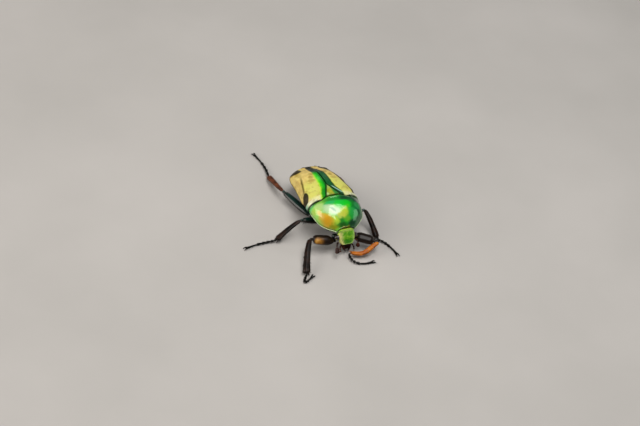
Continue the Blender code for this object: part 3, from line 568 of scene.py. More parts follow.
class Finish:
    """A material on a Principled shader, whose varying inputs are built from expressions."""

    def __init__(self, name, **constants):
        """New material; each constant is a socket's name in lower case and its value."""
        self.material = bpy.data.materials.new(name)
        self.material.use_nodes = True
        self.tree = self.material.node_tree
        self.shader = self.tree.nodes["Principled BSDF"]
        for key, value in constants.items():
            self.shader.inputs[key.replace("_", " ").title().replace("Ior", "IOR")].default_value = value
        self.place = self.body_place()
        self.x, self.y, self.z = self.split(self.place)

    def node(self, kind, settings=None, inputs=None):
        """Add a node with its settings and then the values or links of its sockets."""
        made = self.tree.nodes.new(kind)
        for key, value in (settings or {}).items():
            setattr(made, key, value)
        for key, value in (inputs or {}).items():
            value = value.socket if isinstance(value, Num) else value
            if isinstance(value, bpy.types.NodeSocket):
                self.tree.links.new(value, made.inputs[key])
            else:
                made.inputs[key].default_value = value
        return made

    def math(self, operation, *values):
        """Result of a Math node."""
        made = self.node("ShaderNodeMath", {"operation": operation}, dict(enumerate(values)))
        return Num(self, made.outputs[0])

    def split(self, vector):
        """The three numbers of a vector."""
        return [Num(self, out) for out in self.node("ShaderNodeSeparateXYZ", None, {0: vector}).outputs]

    def body_place(self):
        """Place on the body's axes in millimetres, from the object's own coordinates."""
        own = self.node("ShaderNodeTexCoord").outputs["Object"]
        offset = tuple(-ORIGIN / MM)
        settings = {"Vector": own, "Location": offset, "Scale": (1 / MM,) * 3}
        return self.node("ShaderNodeMapping", None, settings).outputs[0]

    def marks(self):
        """The three numbers that the part's maker marked each point with."""
        return self.split(self.node("ShaderNodeAttribute", {"attribute_name": "marks"}).outputs["Vector"])

    def stretched(self, x, y, z):
        """Place with each axis drawn out by its own factor, for streaky patterns."""
        return self.node("ShaderNodeMapping", None, {"Vector": self.place, "Scale": (x, y, z)}).outputs[0]

    def rise(self, value, start, end):
        """Smooth step from 0 at start to 1 at end."""
        inputs = {"Value": value, "From Min": start, "From Max": end}
        if start > end:
            inputs = {"Value": value, "From Min": end, "From Max": start, "To Min": 1.0, "To Max": 0.0}
        made = self.node("ShaderNodeMapRange", {"interpolation_type": "SMOOTHSTEP"}, inputs)
        return Num(self, made.outputs[0])

    def noise(self, scale, detail=3.0, place=None):
        """Cloudy number about 0.5, with features about one over scale millimetres wide."""
        inputs = {"Vector": place or self.place, "Scale": scale, "Detail": detail}
        return Num(self, self.node("ShaderNodeTexNoise", None, inputs).outputs[0])

    def cells(self, scale, randomness=1.0):
        """Distance in a pattern of cells about one over scale millimetres wide."""
        inputs = {"Vector": self.place, "Scale": scale, "Randomness": randomness}
        return Num(self, self.node("ShaderNodeTexVoronoi", None, inputs).outputs["Distance"])

    def dots(self, scale, radius):
        """1 in small round dots and 0 between them; the radius is a share of a cell."""
        return self.rise(self.cells(scale), radius, radius * 0.5)

    def spot(self, a, b, middle, radii, turn=0.0):
        """Soft oval spot over two numbers: 1 at its middle, 0 at its radii. Turn is in degrees."""
        c, s = np.cos(np.radians(turn)), np.sin(np.radians(turn))
        da, db = a - middle[0], b - middle[1]
        along = (da * c + db * s) / radii[0]
        across = (db * c - da * s) / radii[1]
        return self.rise(along * along + across * across, 1.0, 0.0)

    def mix(self, factor, a, b):
        """Colour that goes from a to b with the factor."""
        a, b = (value if isinstance(value, bpy.types.NodeSocket) else (*value, 1) for value in (a, b))
        return self.node("ShaderNodeMix", {"data_type": "RGBA"}, {0: factor, 6: a, 7: b}).outputs[2]

    def paint(self, colour, *coats):
        """The colour under coats of (factor, colour), each laid over those before it."""
        for factor, coat in coats:
            colour = self.mix(factor, colour, coat)
        return colour

    def shades(self, value, *stops):
        """Colour read along a ramp of (position, colour) stops."""
        made = self.node("ShaderNodeValToRGB", None, {0: value})
        ramp = made.color_ramp
        while len(ramp.elements) < len(stops):
            ramp.elements.new(0.5)
        for element, (position, colour) in zip(ramp.elements, stops):
            element.position = position
            element.color = (*colour, 1)
        return made.outputs[0]

    def level(self, value, top, *stops):
        """Number read along a ramp of (position, number) stops, none of them above top."""
        grey = self.shades(value, *((position, (number / top,) * 3) for position, number in stops))
        return self.split(grey)[0] * top

    def done(self, colour, roughness, relief, metallic=None):
        """Link the colour, the roughness, the relief in millimetres and, if it varies, the metal share."""
        bump = self.node("ShaderNodeBump", None, {"Strength": 1.0, "Distance": MM, "Height": relief})
        links = {"Base Color": colour, "Roughness": roughness, "Metallic": metallic,
                 "Normal": bump.outputs[0]}
        for key, value in links.items():
            value = value.socket if isinstance(value, Num) else value
            if value is not None:
                self.tree.links.new(value, self.shader.inputs[key])
        return self.material


def shield_finish():
    """Polished green with its soft patches, many of them painted light: dark behind, painted shade along
    the left, vivid on the middle, a painted white highlight across the right and a painted gold sheen
    on the right front. Its side edges are pale and its hind edge is dark."""
    f = Finish("shield_green", metallic=0.15, coat_weight=1.0, coat_roughness=0.08, coat_ior=1.55,
               specular_ior_level=0.06)
    side_way, end_way, _ = f.marks()
    x = f.x + (f.noise(0.5, 3) - 0.5) * 1.5
    y = f.y + (f.noise(0.6, 3) - 0.5) * 1.5
    # Painted light: the green runs from paler on the lit right to painted shade on the left.
    colour = f.shades(x / SHADES_WIDTH + 0.5, *SHIELD_GREENS_LIT_TO_SHADED)
    # Lay the patches over the green, the painted highlight, reflection, sheen and shade among them.
    for tone, middle, radii, turn in SHIELD_PATCHES_AND_PAINTED_LIGHT:
        colour = f.mix(f.spot(x, y, middle, radii, turn) * 0.95, colour, tone)
    behind = f.rise(f.y, -3.0, -2.0)
    pits = f.dots(3.4, 0.22)
    colour = f.paint(
        colour,
        (f.rise(side_way, 0.9, 0.45) * 0.6, (0.02, 0.10, 0.004)),
        (f.rise(side_way, 0.36, 0.2) * (1 - behind) * 0.9, (0.75, 0.88, 0.50)),
        (f.rise(end_way, 1.1, 0.5) * behind * 0.6, (0.04, 0.17, 0.01)),
        (f.rise(end_way, 0.45, 0.2) * behind * 0.92, (0.006, 0.04, 0.004)),
        (pits * 0.3, (0.01, 0.14, 0.01)))
    relief = f.noise(0.8, 2) * 0.05 + f.noise(2.2, 4) * 0.008 - pits * 0.008
    return f.done(colour, 0.36 + 0.12 * f.noise(1.1, 3) + 0.12 * pits, relief)


def seam_green(f, reach, right, dusk):
    """Green of the seam patch, by how far inside the patch a point is: vivid with a dark middle on
    the right case, dark on the left one, and near black in the dusk towards the tips."""
    vivid = f.paint(
        f.mix(f.rise(reach, 0.3, 0.9), (0.08, 0.72, 0.005), (0.004, 0.52, 0.008)),
        (f.rise(reach, 1.0, 1.5) * 0.85, (0.004, 0.13, 0.01)),
        (f.rise(f.y, 4.2, 2.4) * 0.7, (0.006, 0.20, 0.01)))
    shady = f.paint(
        f.mix(f.rise(reach, 0.0, 0.7), (0.002, 0.03, 0.008), (0.003, 0.11, 0.024)),
        (f.rise(f.y, 4.5, 2.5) * 0.8, (0.003, 0.06, 0.02)))
    return f.paint(shady, (right, vivid), (dusk, (0.001, 0.014, 0.009)),
                   (f.rise(f.y, 13.5, 15.5), (0.012, 0.008, 0.005)))


def case_finish():
    """Straw yellow with a green patch along the seam that darkens to the tip, dark spots on shoulder and
    tip, brown smudges, painted shade along the creases, a painted highlight along the front edge, a
    painted glint line beside the scutellum, and fine brown punctures."""
    f = Finish("case_straw", coat_weight=0.15, coat_roughness=0.25, coat_ior=1.4, subsurface_weight=0.06,
               subsurface_scale=0.0006, specular_ior_level=0.12)
    seam_way, side_way, hind_way = f.marks()
    out = abs(f.x)
    right = f.rise(f.x, 0.15, -0.15)
    streak = f.noise(1.0, 3, f.stretched(1.1, 0.22, 0.6))
    smoke = f.noise(0.75, 4)
    # Painted shade along the fold from the shoulder towards the tip.
    crease = f.rise(abs(out + 0.25 * f.y - 7.5 - 0.4 * (smoke - 0.5)), 0.36, 0.1)
    crease = crease * f.rise(f.y, 3.0, 5) * f.rise(f.y, 12.5, 8.5)
    smudges = [(f.spot(out, f.y, middle, radii) * share, SMUDGE_BROWN) for middle, radii, share in SMUDGES]
    straw = f.paint(
        f.shades(f.noise(0.45, 3) * 0.6 + streak * 0.4,
                 (0.3, (0.52, 0.36, 0.10)), (0.5, (0.74, 0.56, 0.17)), (0.7, (0.86, 0.70, 0.25))),
        (f.rise(side_way, 2.2, 3.6) * f.rise(f.y, 9.5, 5.0) * 0.75, (0.68, 0.72, 0.14)),
        # Painted highlight: pale along the front edge of the cases.
        (f.rise(f.y, 1.6, 0.2) * 0.8, (0.84, 0.82, 0.45)),
        (f.rise(smoke, 0.5, 0.72) * 0.55, (0.36, 0.24, 0.04)),
        *smudges,
        # Painted shade in the crease.
        (crease * 0.85, (0.11, 0.08, 0.01)))
    wavy = out + (f.noise(0.9, 2) - 0.5) * 0.4
    reach = f.level(f.y / GREEN_LENGTH, 4.0, *GREEN_HALF_WIDTH) - wavy
    green = f.rise(reach, -0.1, 0.35)
    dusk = f.rise(f.y, 9.0, 12.5)
    # Painted glint: a thin pale line along the left case beside the scutellum.
    painted_glint = f.rise(abs(f.x + 0.6 * f.y - 3.15), 0.22, 0.08) * f.rise(f.y, 3.8, 3.0) * f.rise(f.y, 0.2, 0.8)
    shoulder = f.spot(out, f.y, (6.75, 2.2), (0.75, 2.3), 14)
    tip = f.spot(out, f.y, (4.2, 15.4), (1.8, 1.9), 10)
    edge = f.rise(side_way, 0.42, 0.2) + f.rise(hind_way, 0.45, 0.15)
    edge = edge + f.rise(f.x + 0.25 * f.y, 6.7, 7.15) * 0.9
    dark = f.math("MINIMUM", shoulder * 2.2 + tip * 2.2 + edge, 1.0)
    pits = f.dots(1.9, 0.15) + f.dots(3.6, 0.14) * 0.6
    colour = f.paint(
        straw,
        (f.rise(reach, -0.55, 0.1) * f.rise(f.y, 10.5, 8.0) * (0.2 + 0.75 * right), (0.40, 0.80, 0.02)),
        (green, seam_green(f, reach, right, dusk)),
        (painted_glint * 0.85, (0.55, 0.95, 0.80)),
        (dark * 0.96, (0.010, 0.006, 0.003)),
        (f.rise(seam_way, 0.16, 0.06) * 0.85, (0.004, 0.03, 0.004)),
        (f.math("MINIMUM", pits * 0.5, 0.6), (0.14, 0.075, 0.015)))
    relief = streak * 0.02 - pits * 0.014 + f.noise(9, 2) * 0.003
    roughness = 0.5 + 0.14 * f.noise(1.3, 3) + 0.12 * pits - 0.14 * green
    return f.done(colour, roughness, relief, green * 0.25 * (1 - dark) * (1 - dusk))


def scutellum_finish():
    """Yellow-green triangle, pale at its tip and right corner, deeper green on the left where its slope is
    painted in shade, with a dark border.
    """
    f = Finish("scutellum_green", coat_weight=0.3, coat_roughness=0.2, coat_ior=1.45)
    edge_way, back, _ = f.marks()
    cloud = f.noise(0.9, 3)
    colour = f.paint(
        f.shades(cloud, (0.35, (0.24, 0.34, 0.008)), (0.65, (0.50, 0.50, 0.01))),
        (f.rise(back, 2.0, 3.6) * 0.75, (0.45, 0.66, 0.16)),
        (f.spot(f.x, f.y, (-1.5, 0.7), (0.8, 0.8)), (0.55, 0.75, 0.25)),
        # Painted shade: deeper green over the left slope.
        (f.rise(f.x, 0.1, 0.8) * 0.95, (0.006, 0.26, 0.02)),
        (f.rise(edge_way, 0.36, 0.1) * 0.95, (0.004, 0.10, 0.01)),
        (f.rise(f.y, 0.4, 0.0) * 0.8, (0.05, 0.06, 0.004)))
    pits = f.dots(3.4, 0.2)
    relief = f.noise(3, 3) * 0.01 - pits * 0.01
    return f.done(colour, 0.4 + 0.14 * f.noise(2, 3) + 0.1 * pits, relief, 0.15 + 0.2 * cloud)


def shoulder_finish():
    """Cream plate, greener at the side, with painted shade below it and along the shield's edge."""
    f = Finish("shoulder_pale", coat_weight=0.5, coat_roughness=0.12)
    behind, _, _ = f.marks()
    cloud = f.noise(1.2, 3)
    colour = f.paint(
        f.shades(cloud, (0.3, (0.62, 0.62, 0.30)), (0.6, (0.84, 0.84, 0.56))),
        (f.rise(f.z, 8.8, 7.8) * 0.8, (0.10, 0.42, 0.22)),
        # Painted shade below the plate and along the shield's edge, where the parts meet.
        (f.rise(f.z, 7.3, 6.7) * 0.85, (0.03, 0.07, 0.02)),
        (f.rise(behind, 0.3, 0.1) * 0.85, (0.03, 0.07, 0.02)))
    pits = f.dots(3.0, 0.22)
    relief = f.noise(4, 3) * 0.012 - pits * 0.012
    return f.done(colour, 0.32 + 0.15 * f.noise(2.5), relief, 0.15 * cloud)


def face_finish():
    """Green face with dark pits, pale along its raised rims and crown, the right rim painted brighter for
    the light it catches, dark at the lip, and at the neck a painted shadow of the shield's edge.
    """
    f = Finish("face_green", coat_weight=0.5, coat_roughness=0.1, coat_ior=1.45, specular_ior_level=0.1)
    ridge, across, t = f.marks()
    cloud = f.noise(1.3, 3)
    across = across + (f.noise(1.6, 3) - 0.5) * 0.7
    face = f.rise(t, 0.3, 0.42)
    pits = f.dots(3.2, 0.34)
    colour = f.paint(
        f.shades(cloud, (0.35, (0.05, 0.36, 0.005)), (0.5, (0.16, 0.56, 0.01)), (0.68, (0.38, 0.70, 0.05))),
        (f.rise(t, 0.55, 0.85) * 0.8, (0.02, 0.20, 0.004)),
        # Pale rims, partly their own colour and partly painted light: the right one brighter and yellower
        # where light falls.
        (f.rise(across, -0.3, -0.85) * face * 0.95, (1.0, 0.92, 0.32)),
        (f.rise(across, 0.55, 0.95) * face * 0.75, (0.50, 0.80, 0.20)),
        (ridge * 0.7, (0.74, 0.84, 0.20)),
        (f.rise(abs(t - 0.24), 0.07, 0.02) * 0.85, (0.60, 0.82, 0.12)),
        (f.rise(abs(t - 0.29), 0.03, 0.01) * 0.7, (0.04, 0.12, 0.004)),
        # Painted shadow of the shield's edge over the neck.
        (f.rise(t, 0.18, 0.13) * 0.85, (0.22, 0.17, 0.01)),
        (f.rise(t, 0.92, 0.98) * 0.92, (0.008, 0.025, 0.006)),
        (pits * 0.6, (0.01, 0.13, 0.004)))
    relief = f.noise(3.5, 4) * 0.03 - pits * 0.035
    return f.done(colour, 0.32 + 0.14 * f.noise(2.4, 3) + 0.15 * pits, relief, 0.2 + 0.2 * cloud)


def eye_finish():
    """Black-brown eye of fine six-sided facets under a clear gloss."""
    f = Finish("eye_dark", coat_weight=1.0, coat_roughness=0.04)
    facets = f.cells(11.0, 0.25)
    colour = f.shades(f.noise(2.0, 3), (0.35, (0.006, 0.005, 0.006)), (0.7, (0.035, 0.016, 0.01)))
    return f.done(colour, 0.18 + 0.2 * f.noise(5, 2), facets * facets * -0.02)


def horn_finish(name, deep, bright, reach=0.5):
    """Dark horn that glows a redder brown in patches, finely punctured and softly worn."""
    f = Finish(name, coat_weight=0.18, coat_roughness=0.06, coat_ior=1.35, specular_ior_level=0.12)
    cloud = f.noise(0.7, 4) * 0.75 + f.noise(6.0, 4) * 0.25
    pits = f.dots(4.2, 0.25)
    colour = f.shades(cloud, (reach - 0.12, deep), (reach + 0.2, bright))
    colour = f.mix(pits * 0.5, colour, tuple(0.4 * part for part in deep))
    relief = f.noise(4, 4) * 0.016 - pits * 0.014
    return f.done(colour, 0.24 + 0.2 * f.noise(3, 3) + 0.12 * pits, relief)


def gold_finish():
    """Black front thigh, golden brown along the front of its outer half on the right side only: partly its
    own colour and partly a painted highlight where light falls, with the left thigh kept black as painted
    shade.
    """
    f = Finish("thigh_gold", coat_weight=0.25, coat_roughness=0.12, coat_ior=1.45, specular_ior_level=0.15)
    along, _, _ = f.marks()
    colour = f.shades(f.noise(0.8, 4), (0.3, (0.14, 0.05, 0.006)), (0.55, (0.42, 0.18, 0.02)),
                      (0.75, (0.75, 0.45, 0.12)))
    # Painted highlight: gold where the front of the right thigh faces the light; the left one stays black as
    # painted shade.
    ahead = 0.5 * (f.z - 3.1 + 0.145 * (f.x + 2.8)) - 0.85 * (f.y + 9.8 + 0.19 * (f.x + 2.8))
    golden = f.rise(ahead, 0.6, 1.3) * f.rise(along, 0.45, 0.75) * f.rise(along, 1.0, 0.9)
    golden = golden * f.rise(f.x, 0.5, -0.5)
    colour = f.mix(1 - golden, colour, (0.012, 0.006, 0.003))
    pits = f.dots(3.6, 0.24)
    relief = f.noise(3, 4) * 0.02 - pits * 0.02
    return f.done(colour, 0.22 + 0.2 * f.noise(2.3, 3) + 0.12 * pits, relief)


def dark_finish():
    """Green-black cuticle with a dull metal sheen, coarse punctures and short scratches."""
    f = Finish("underside_dark", coat_weight=0.8, coat_roughness=0.1, coat_ior=1.5)
    cloud = f.noise(0.6, 4)
    colour = f.shades(cloud, (0.35, (0.008, 0.011, 0.008)), (0.55, (0.012, 0.035, 0.022)),
                      (0.75, (0.05, 0.03, 0.012)))
    pits = f.dots(2.6, 0.28)
    relief = f.noise(2.2, 4, f.stretched(1, 3.2, 1)) * 0.03 - pits * 0.03
    return f.done(colour, 0.22 + 0.2 * f.noise(1.8, 3) + 0.15 * pits, relief, 0.25 + 0.3 * cloud)


def thigh_finish():
    """Black leg that turns metallic green-blue along the top of the thigh."""
    f = Finish("thigh_dark", coat_weight=0.6, coat_roughness=0.05, coat_ior=1.5, specular_ior_level=0.2)
    along, turn, _ = f.marks()
    top = f.rise(abs(turn - 0.25), 0.2, 0.04) * f.rise(along, 0.95, 0.7)
    colour = f.shades(f.noise(0.9, 3), (0.35, (0.004, 0.004, 0.003)), (0.7, (0.016, 0.010, 0.006)))
    colour = f.mix(top * 0.6, colour, (0.01, 0.075, 0.055))
    pits = f.dots(3.4, 0.24)
    relief = f.noise(3, 4) * 0.02 - pits * 0.02
    return f.done(colour, 0.2 + 0.2 * f.noise(2.3, 3) + 0.12 * pits, relief, top * 0.5)


def hair_finish():
    """Dark golden brown hair, paler in places."""
    f = Finish("hair_golden", sheen_weight=0.1, specular_ior_level=0.2)
    colour = f.shades(f.noise(1.4, 3), (0.35, (0.010, 0.005, 0.003)), (0.75, (0.06, 0.028, 0.010)))
    return f.done(colour, 0.45 + 0.25 * f.noise(6, 2), f.noise(12, 2) * 0.004)


def floor_finish():
    """Plain pale floor with the faintest mottling."""
    f = Finish("floor_pale")
    cloud = f.noise(0.02, 4)
    colour = f.shades(cloud, (0.3, (0.50, 0.475, 0.45)), (0.7, (0.56, 0.53, 0.505)))
    return f.done(colour, 0.62 + 0.1 * cloud, f.noise(0.4, 3) * 0.03)


# The body.


def shield_hind_y(across):
    """Hind edge of the shield: a lobe before the scutellum, swept forward on both sides of it."""
    return smooth(SHIELD_HIND_Y, np.abs(across))


def shield_surface(across, up, along):
    """Upper face of the shield: an arch of powers 2.3 and 1.9 between its side edges at each station,
    drawn out between its hind and front edges."""
    hind = shield_hind_y(across)
    front = -SHIELD_LENGTH - SHIELD_FRONT_SWEEP * across ** 2
    margin = smooth(SHIELD_MARGIN_Z, along)
    x = across * smooth(SHIELD_HALF_WIDTH, along)
    y = hind + (front - hind) * along
    z = margin + (smooth(SHIELD_CREST_Z, along) - margin) * up
    return grid_of(x, y, z)


def beaded(grid, ways, height, width):
    """The grid raised to a bead just inside an edge, with a groove inside the bead."""
    bead = height * bell(ways, width, 0.6 * width) - 0.6 * height * bell(ways, 2.6 * width, 0.8 * width)
    return grid + grid_normals(grid) * bead[..., None]


def make_shield():
    """Domed shield with a bead along each edge and a shallow pit on each side."""
    across, up = arch(np.pi * eased(161), SHIELD_POWERS)
    grid = shield_surface(across, up, eased(121)[:, None])
    for side in (-1, 1):
        pit = bell(grid[..., 0], side * SHIELD_PIT[0], 0.9) * bell(grid[..., 1], SHIELD_PIT[1], 0.8)
        grid = grid - grid_normals(grid) * 0.1 * pit[..., None]
    hind_way, front_way, right_way, left_way = edge_ways(grid)
    for ways, height, width in ((np.minimum(right_way, left_way), 0.12, 0.14), (front_way, 0.07, 0.12),
                                (hind_way, 0.04, 0.16)):
        grid = beaded(grid, ways, height, width)
    hind_way, front_way, right_way, left_way = edge_ways(grid)
    marks = (np.minimum(right_way, left_way), np.minimum(front_way, hind_way), 0)
    piece("shield", [plate(grid, SHIELD_THICKNESS, marks)], shield_finish(), "shield", "pronotum")


def case_front_y(x):
    """Front edge of the wing cases: it follows the shield and then draws back at the shoulders."""
    return smooth(CASE_FRONT_EDGE, np.abs(x))


def case_surface(across_step, along):
    """Upper face of the left wing case: an arch of powers 3 and 1.7 from the seam to the side edge,
    notched for the scutellum, with a smooth boss on the shoulder and another before the tip."""
    half_width = smooth(CASE_HALF_WIDTH, along)
    margin = smooth(CASE_MARGIN_Z, along)
    y = CASE_FRONT_Y + CASE_LENGTH * along
    notch = SCUTELLUM_HALF_WIDTH * (SCUTELLUM_TIP_Y - y) / (SCUTELLUM_TIP_Y - CASE_FRONT_Y)
    inner_edge = np.maximum(SEAM_HALF_GAP, notch + SCUTELLUM_GAP)
    first = np.arccos((inner_edge / half_width) ** (CASE_POWERS[0] / 2))
    across, up = arch(first * (1 - across_step), CASE_POWERS)
    x = half_width * across
    y = y + (case_front_y(x) - CASE_FRONT_Y) * (1 - along) ** 8 - TIP_ROUNDING * x ** 2 * along ** 12
    z = margin + (smooth(CASE_CREST_Z, along) - margin) * up
    grid = grid_of(x, y, z)
    out = grid[..., 0] / half_width
    boss = 0.2 * bell(out, 0.84, 0.1) * bell(along, 0.1, 0.07)
    boss = boss + 0.3 * bell(out, 0.72, 0.14) * bell(along, 0.86, 0.06)
    crease = bell(out, 0.86, 0.035) - 0.7 * bell(out, 0.95, 0.05)
    crease = 0.1 * crease * rise(along, 0.12, 0.25) * (1 - rise(along, 0.75, 0.9))
    groove = 0.05 * bell(out, 0.13, 0.05) * rise(along, 0.35, 0.7)
    seam = 0.09 * bell(out, 0.0, 0.06) * rise(along, 0.3, 0.8)
    return grid + grid_normals(grid) * (boss + crease + seam - groove)[..., None]


def make_wing_cases():
    """Both wing cases, one the mirror image of the other."""
    grid = case_surface(eased(141), eased(181)[:, None])
    grid = beaded(grid, edge_ways(grid)[3], 0.08, 0.14)
    _, hind_way, seam_way, side_way = edge_ways(grid)
    part = plate(grid, CASE_THICKNESS, (seam_way, side_way, hind_way))
    mirror_pair("wing_case", part, case_finish(), "wing_case", "elytron")


def make_scutellum():
    """Triangular plate that narrows evenly to its tip, slightly domed inside a shallow border groove."""
    along = eased(61)[:, None]
    across = 2 * eased(61) - 1
    half_width = SCUTELLUM_HALF_WIDTH * (1 - along) + 0.06
    x = across * half_width
    front = shield_hind_y(x / SHIELD_HALF_WIDTH[0][1]) + 0.02
    y = front + (SCUTELLUM_TIP_Y - front) * along
    way = (1 - np.abs(across)) * half_width
    z = CASE_CREST_Z[0][1] - 0.03 + 0.1 * (1 - across ** 2) * (1 - along) - 0.05 * bell(way, 0.3, 0.1)
    part = plate(grid_of(x, y, z), SMALL_PLATE_THICKNESS, (way, y - front, 0))
    piece("scutellum_plate", [part], scutellum_finish(), "scutellum", "scutellum")


def make_shoulders():
    """Pale plates between the hind corners of the shield and the wing cases: a strip of an arch like
    that of the wing cases, drawn from the shield's edge to their front edge and swelling between."""
    turn = np.linspace(-0.5, 1.0, 61)[:, None]
    across, up = arch(turn, CASE_POWERS)
    step = np.linspace(1, 0, 25)
    x = SHOULDER_HALF_WIDTH * across
    height = np.where(turn > 0, SHOULDER_RISE, -SHOULDER_DROP) * up
    z = SHOULDER_SIDE_Z + height + 0.08 * np.sin(np.pi * step)
    front = shield_hind_y(x / SHIELD_HALF_WIDTH[0][1]) + 0.03
    y = front + np.maximum(case_front_y(x) - 0.02 - front, 0.05) * step
    marks = (step * (case_front_y(x) - front), x, 0)
    part = plate(grid_of(x, y, z), SMALL_PLATE_THICKNESS, marks)
    mirror_pair("shoulder_plate", part, shoulder_finish(), "shoulder", "mesepimeron")


def make_fore_body(finish):
    """Underside of the fore body: rings that follow the shield at a small distance, with a keel
    along the middle and a hollow round each front hip."""
    rings = []
    for y in between(FORE_BODY_Y, eased(61)):
        along = (FORE_BODY_SHIFT - y) / (SHIELD_LENGTH + FORE_BODY_SHIFT)
        margin = smooth(SHIELD_MARGIN_Z, along)
        side = margin - FORE_BODY_INSET
        top = side + (smooth(SHIELD_CREST_Z, along) - margin) * 0.62
        half_width = smooth(SHIELD_HALF_WIDTH, along) - FORE_BODY_INSET
        x, z = oval(half_width, top, side, smooth(FORE_BODY_LOW_Z, y), 120, FORE_BODY_POWERS)
        below = z < side
        keel = 0.25 * bell(x, 0, 0.5) * bell(y, -6.0, 2.4)
        hollow = 0.45 * bell(np.abs(x), 1.9, 0.9) * bell(y, -6.9, 1.0)
        ridge = 0.12 * bell(np.abs(x), 3.4 - 0.25 * (y + 5), 0.3)
        rings.append(grid_of(x, y, z - below * (keel + ridge - hollow)))
    piece("fore_body", [tube(closed_ends(np.array(rings), 0.5))], finish, "underside", "prothorax")


def trunk_rings(y_stations, low, count, low_powers):
    """Rings of the hind body, under the wing cases above and bulging to the belly below."""
    rings = []
    for y, floor in zip(y_stations, low):
        along = (y - CASE_FRONT_Y) / CASE_LENGTH
        half_width = smooth(CASE_HALF_WIDTH, along) - TRUNK_INSET
        top = smooth(CASE_CREST_Z, along) - TRUNK_INSET
        side = smooth(CASE_MARGIN_Z, along)
        x, z = oval(half_width, top, side, floor, count, CASE_POWERS, low_powers)
        rings.append(grid_of(x, y, z))
    return np.array(rings)


def make_breast(finish):
    """Breast: rings whose lowest line dips behind the middle hips, with a groove along the middle,
    a slanting groove on each side and a blunt knob that points forward between the middle legs."""
    y = between(BREAST_Y, eased(71))
    rings = trunk_rings(y, smooth(BREAST_LOW_Z, y), 140, CASE_POWERS)
    ahead = rise(y, 1.2, 0.2)[:, None]
    x, z = rings[..., 0], rings[..., 2]
    x = x * (1 - ahead * 0.15)
    z = np.minimum(z, 9.6 - 1.9 * ahead)
    below = rise(z, 6.6, 5.4)
    groove = 0.14 * bell(x, 0, 0.16) + 0.12 * bell(np.abs(x), 2.4 + 0.45 * (y[:, None] - 1), 0.14)
    z = z + below * groove * rise(y, 0.2, 1.0)[:, None]
    rings = closed_ends(grid_of(x, rings[..., 1], z), 0.3)
    knob = limb(line(*BREAST_KNOB, 24), 0.55, 0.7, 24)
    piece("breast", [tube(rings), knob], finish, "underside", "thorax")


def make_belly(finish):
    """Belly of five plates: along each one the surface swells a little and then steps in."""
    along = np.linspace(0, 1, 131)
    y = between(BELLY_Y, along)
    part = along * BELLY_PLATES % 1
    step = 0.2 * part ** 0.7 * rise(part, 1.0, 0.93) - 0.06
    rings = trunk_rings(y, smooth(BELLY_LOW_Z, y) + 0.12 - step, 120, (2.6, 1.8))
    middle = rings.mean(axis=1, keepdims=True)
    swell = 1 + step[:, None, None] * (0.06, 0, 0)
    rings = closed_ends(middle + (rings - middle) * swell, 0.35)
    piece("belly", [tube(rings)], finish, "underside", "abdomen")


def make_pygidium(finish):
    """Last plate of the back: a flattened half dome below the tips of the wing cases."""
    turn = np.pi / 2 * np.linspace(0, 1, 50)[:, None]
    size = np.cos(turn)
    x, z = oval(PYGIDIUM_HALF_WIDTH, 0.85, 0, -1, 96, (2.4, 2))
    y = between(PYGIDIUM_Y, np.sin(turn))
    rings = grid_of(size * x, y, PYGIDIUM_Z + size * z + 0.06 * bell(x * size, 0, 0.8))
    start = rings[:1] * (0.5, 1, 1) + (0, -0.2, 0)
    piece("pygidium_plate", [tube(np.concatenate([start, rings]))], finish, "underside", "pygidium")


# The head.


def make_head():
    """Boxy head: rings of powers 4.5 and 2.4 between an upper and a lower profile. Ridges rise along
    both sides and the lip of the face, a low arc crosses its crown and a faint keel divides it."""
    angle = angles(140)
    across, up = arch(angle, HEAD_POWERS)
    up = np.sign(np.sin(angle)) * up
    t = eased(121, 0.4)[:, None]
    top = grid_of(0, smooth(HEAD_TOP_Y, t), smooth(HEAD_TOP_Z, t))
    low = grid_of(0, smooth(HEAD_LOW_Y, t), smooth(HEAD_LOW_Z, t))
    side = grid_of(smooth(HEAD_HALF_WIDTH, t), 0, 0)
    rings = (top + low) / 2 + across[:, None] * side + up[:, None] * (top - low) / 2
    upper = rise(up, 0.1, 0.7)
    rail = bell(np.abs(across), 0.93, 0.07) * rise(t, 0.3, 0.45)
    lip = bell(t, 0.965, 0.03)
    crown = bell(t + 0.05 * across ** 2, 0.33, 0.035) * rise(np.abs(across), 0.95, 0.75)
    keel = bell(across, 0, 0.09) * rise(t, 0.3, 0.4) * rise(t, 0.75, 0.6)
    hollow = (1 - across ** 2) * rise(t, 0.4, 0.55) * rise(t, 0.97, 0.9)
    ridge = np.clip(rail + lip + crown * 0.9, 0, 1) * upper
    lift = (0.2 * rail + 0.14 * lip + 0.14 * crown + 0.05 * keel - 0.14 * hollow) * upper
    rings = rings + lift[..., None] * unit(top - low)
    head = tube(closed_ends(rings, 0.2), (ridge, across, t))
    brow = limb(line(*BROW, 20), 0.16, 0.6, 14)
    piece("head_capsule", [head, brow, mirrored(brow)], face_finish(), "face", "head")


def make_eyes():
    """Bulging eyes: half ellipsoids that point away from the head."""
    turn = np.pi / 2 * (1 - eased(40))[::-1, None]
    angle = angles(56)
    x = EYE_PLACE[0] - EYE_SINK + (EYE_RADII[0] + EYE_SINK) * np.sin(turn)
    y = EYE_PLACE[1] + EYE_RADII[1] * np.cos(turn) * np.cos(angle)
    z = EYE_PLACE[2] + EYE_RADII[2] * np.cos(turn) * np.sin(angle)
    rings = grid_of(x, y, z)
    part = tube(np.concatenate([rings[:1] * (1, 0, 0) + (0, EYE_PLACE[1], EYE_PLACE[2]), rings]))
    mirror_pair("eye_globe", part, eye_finish(), "eye", "eye")


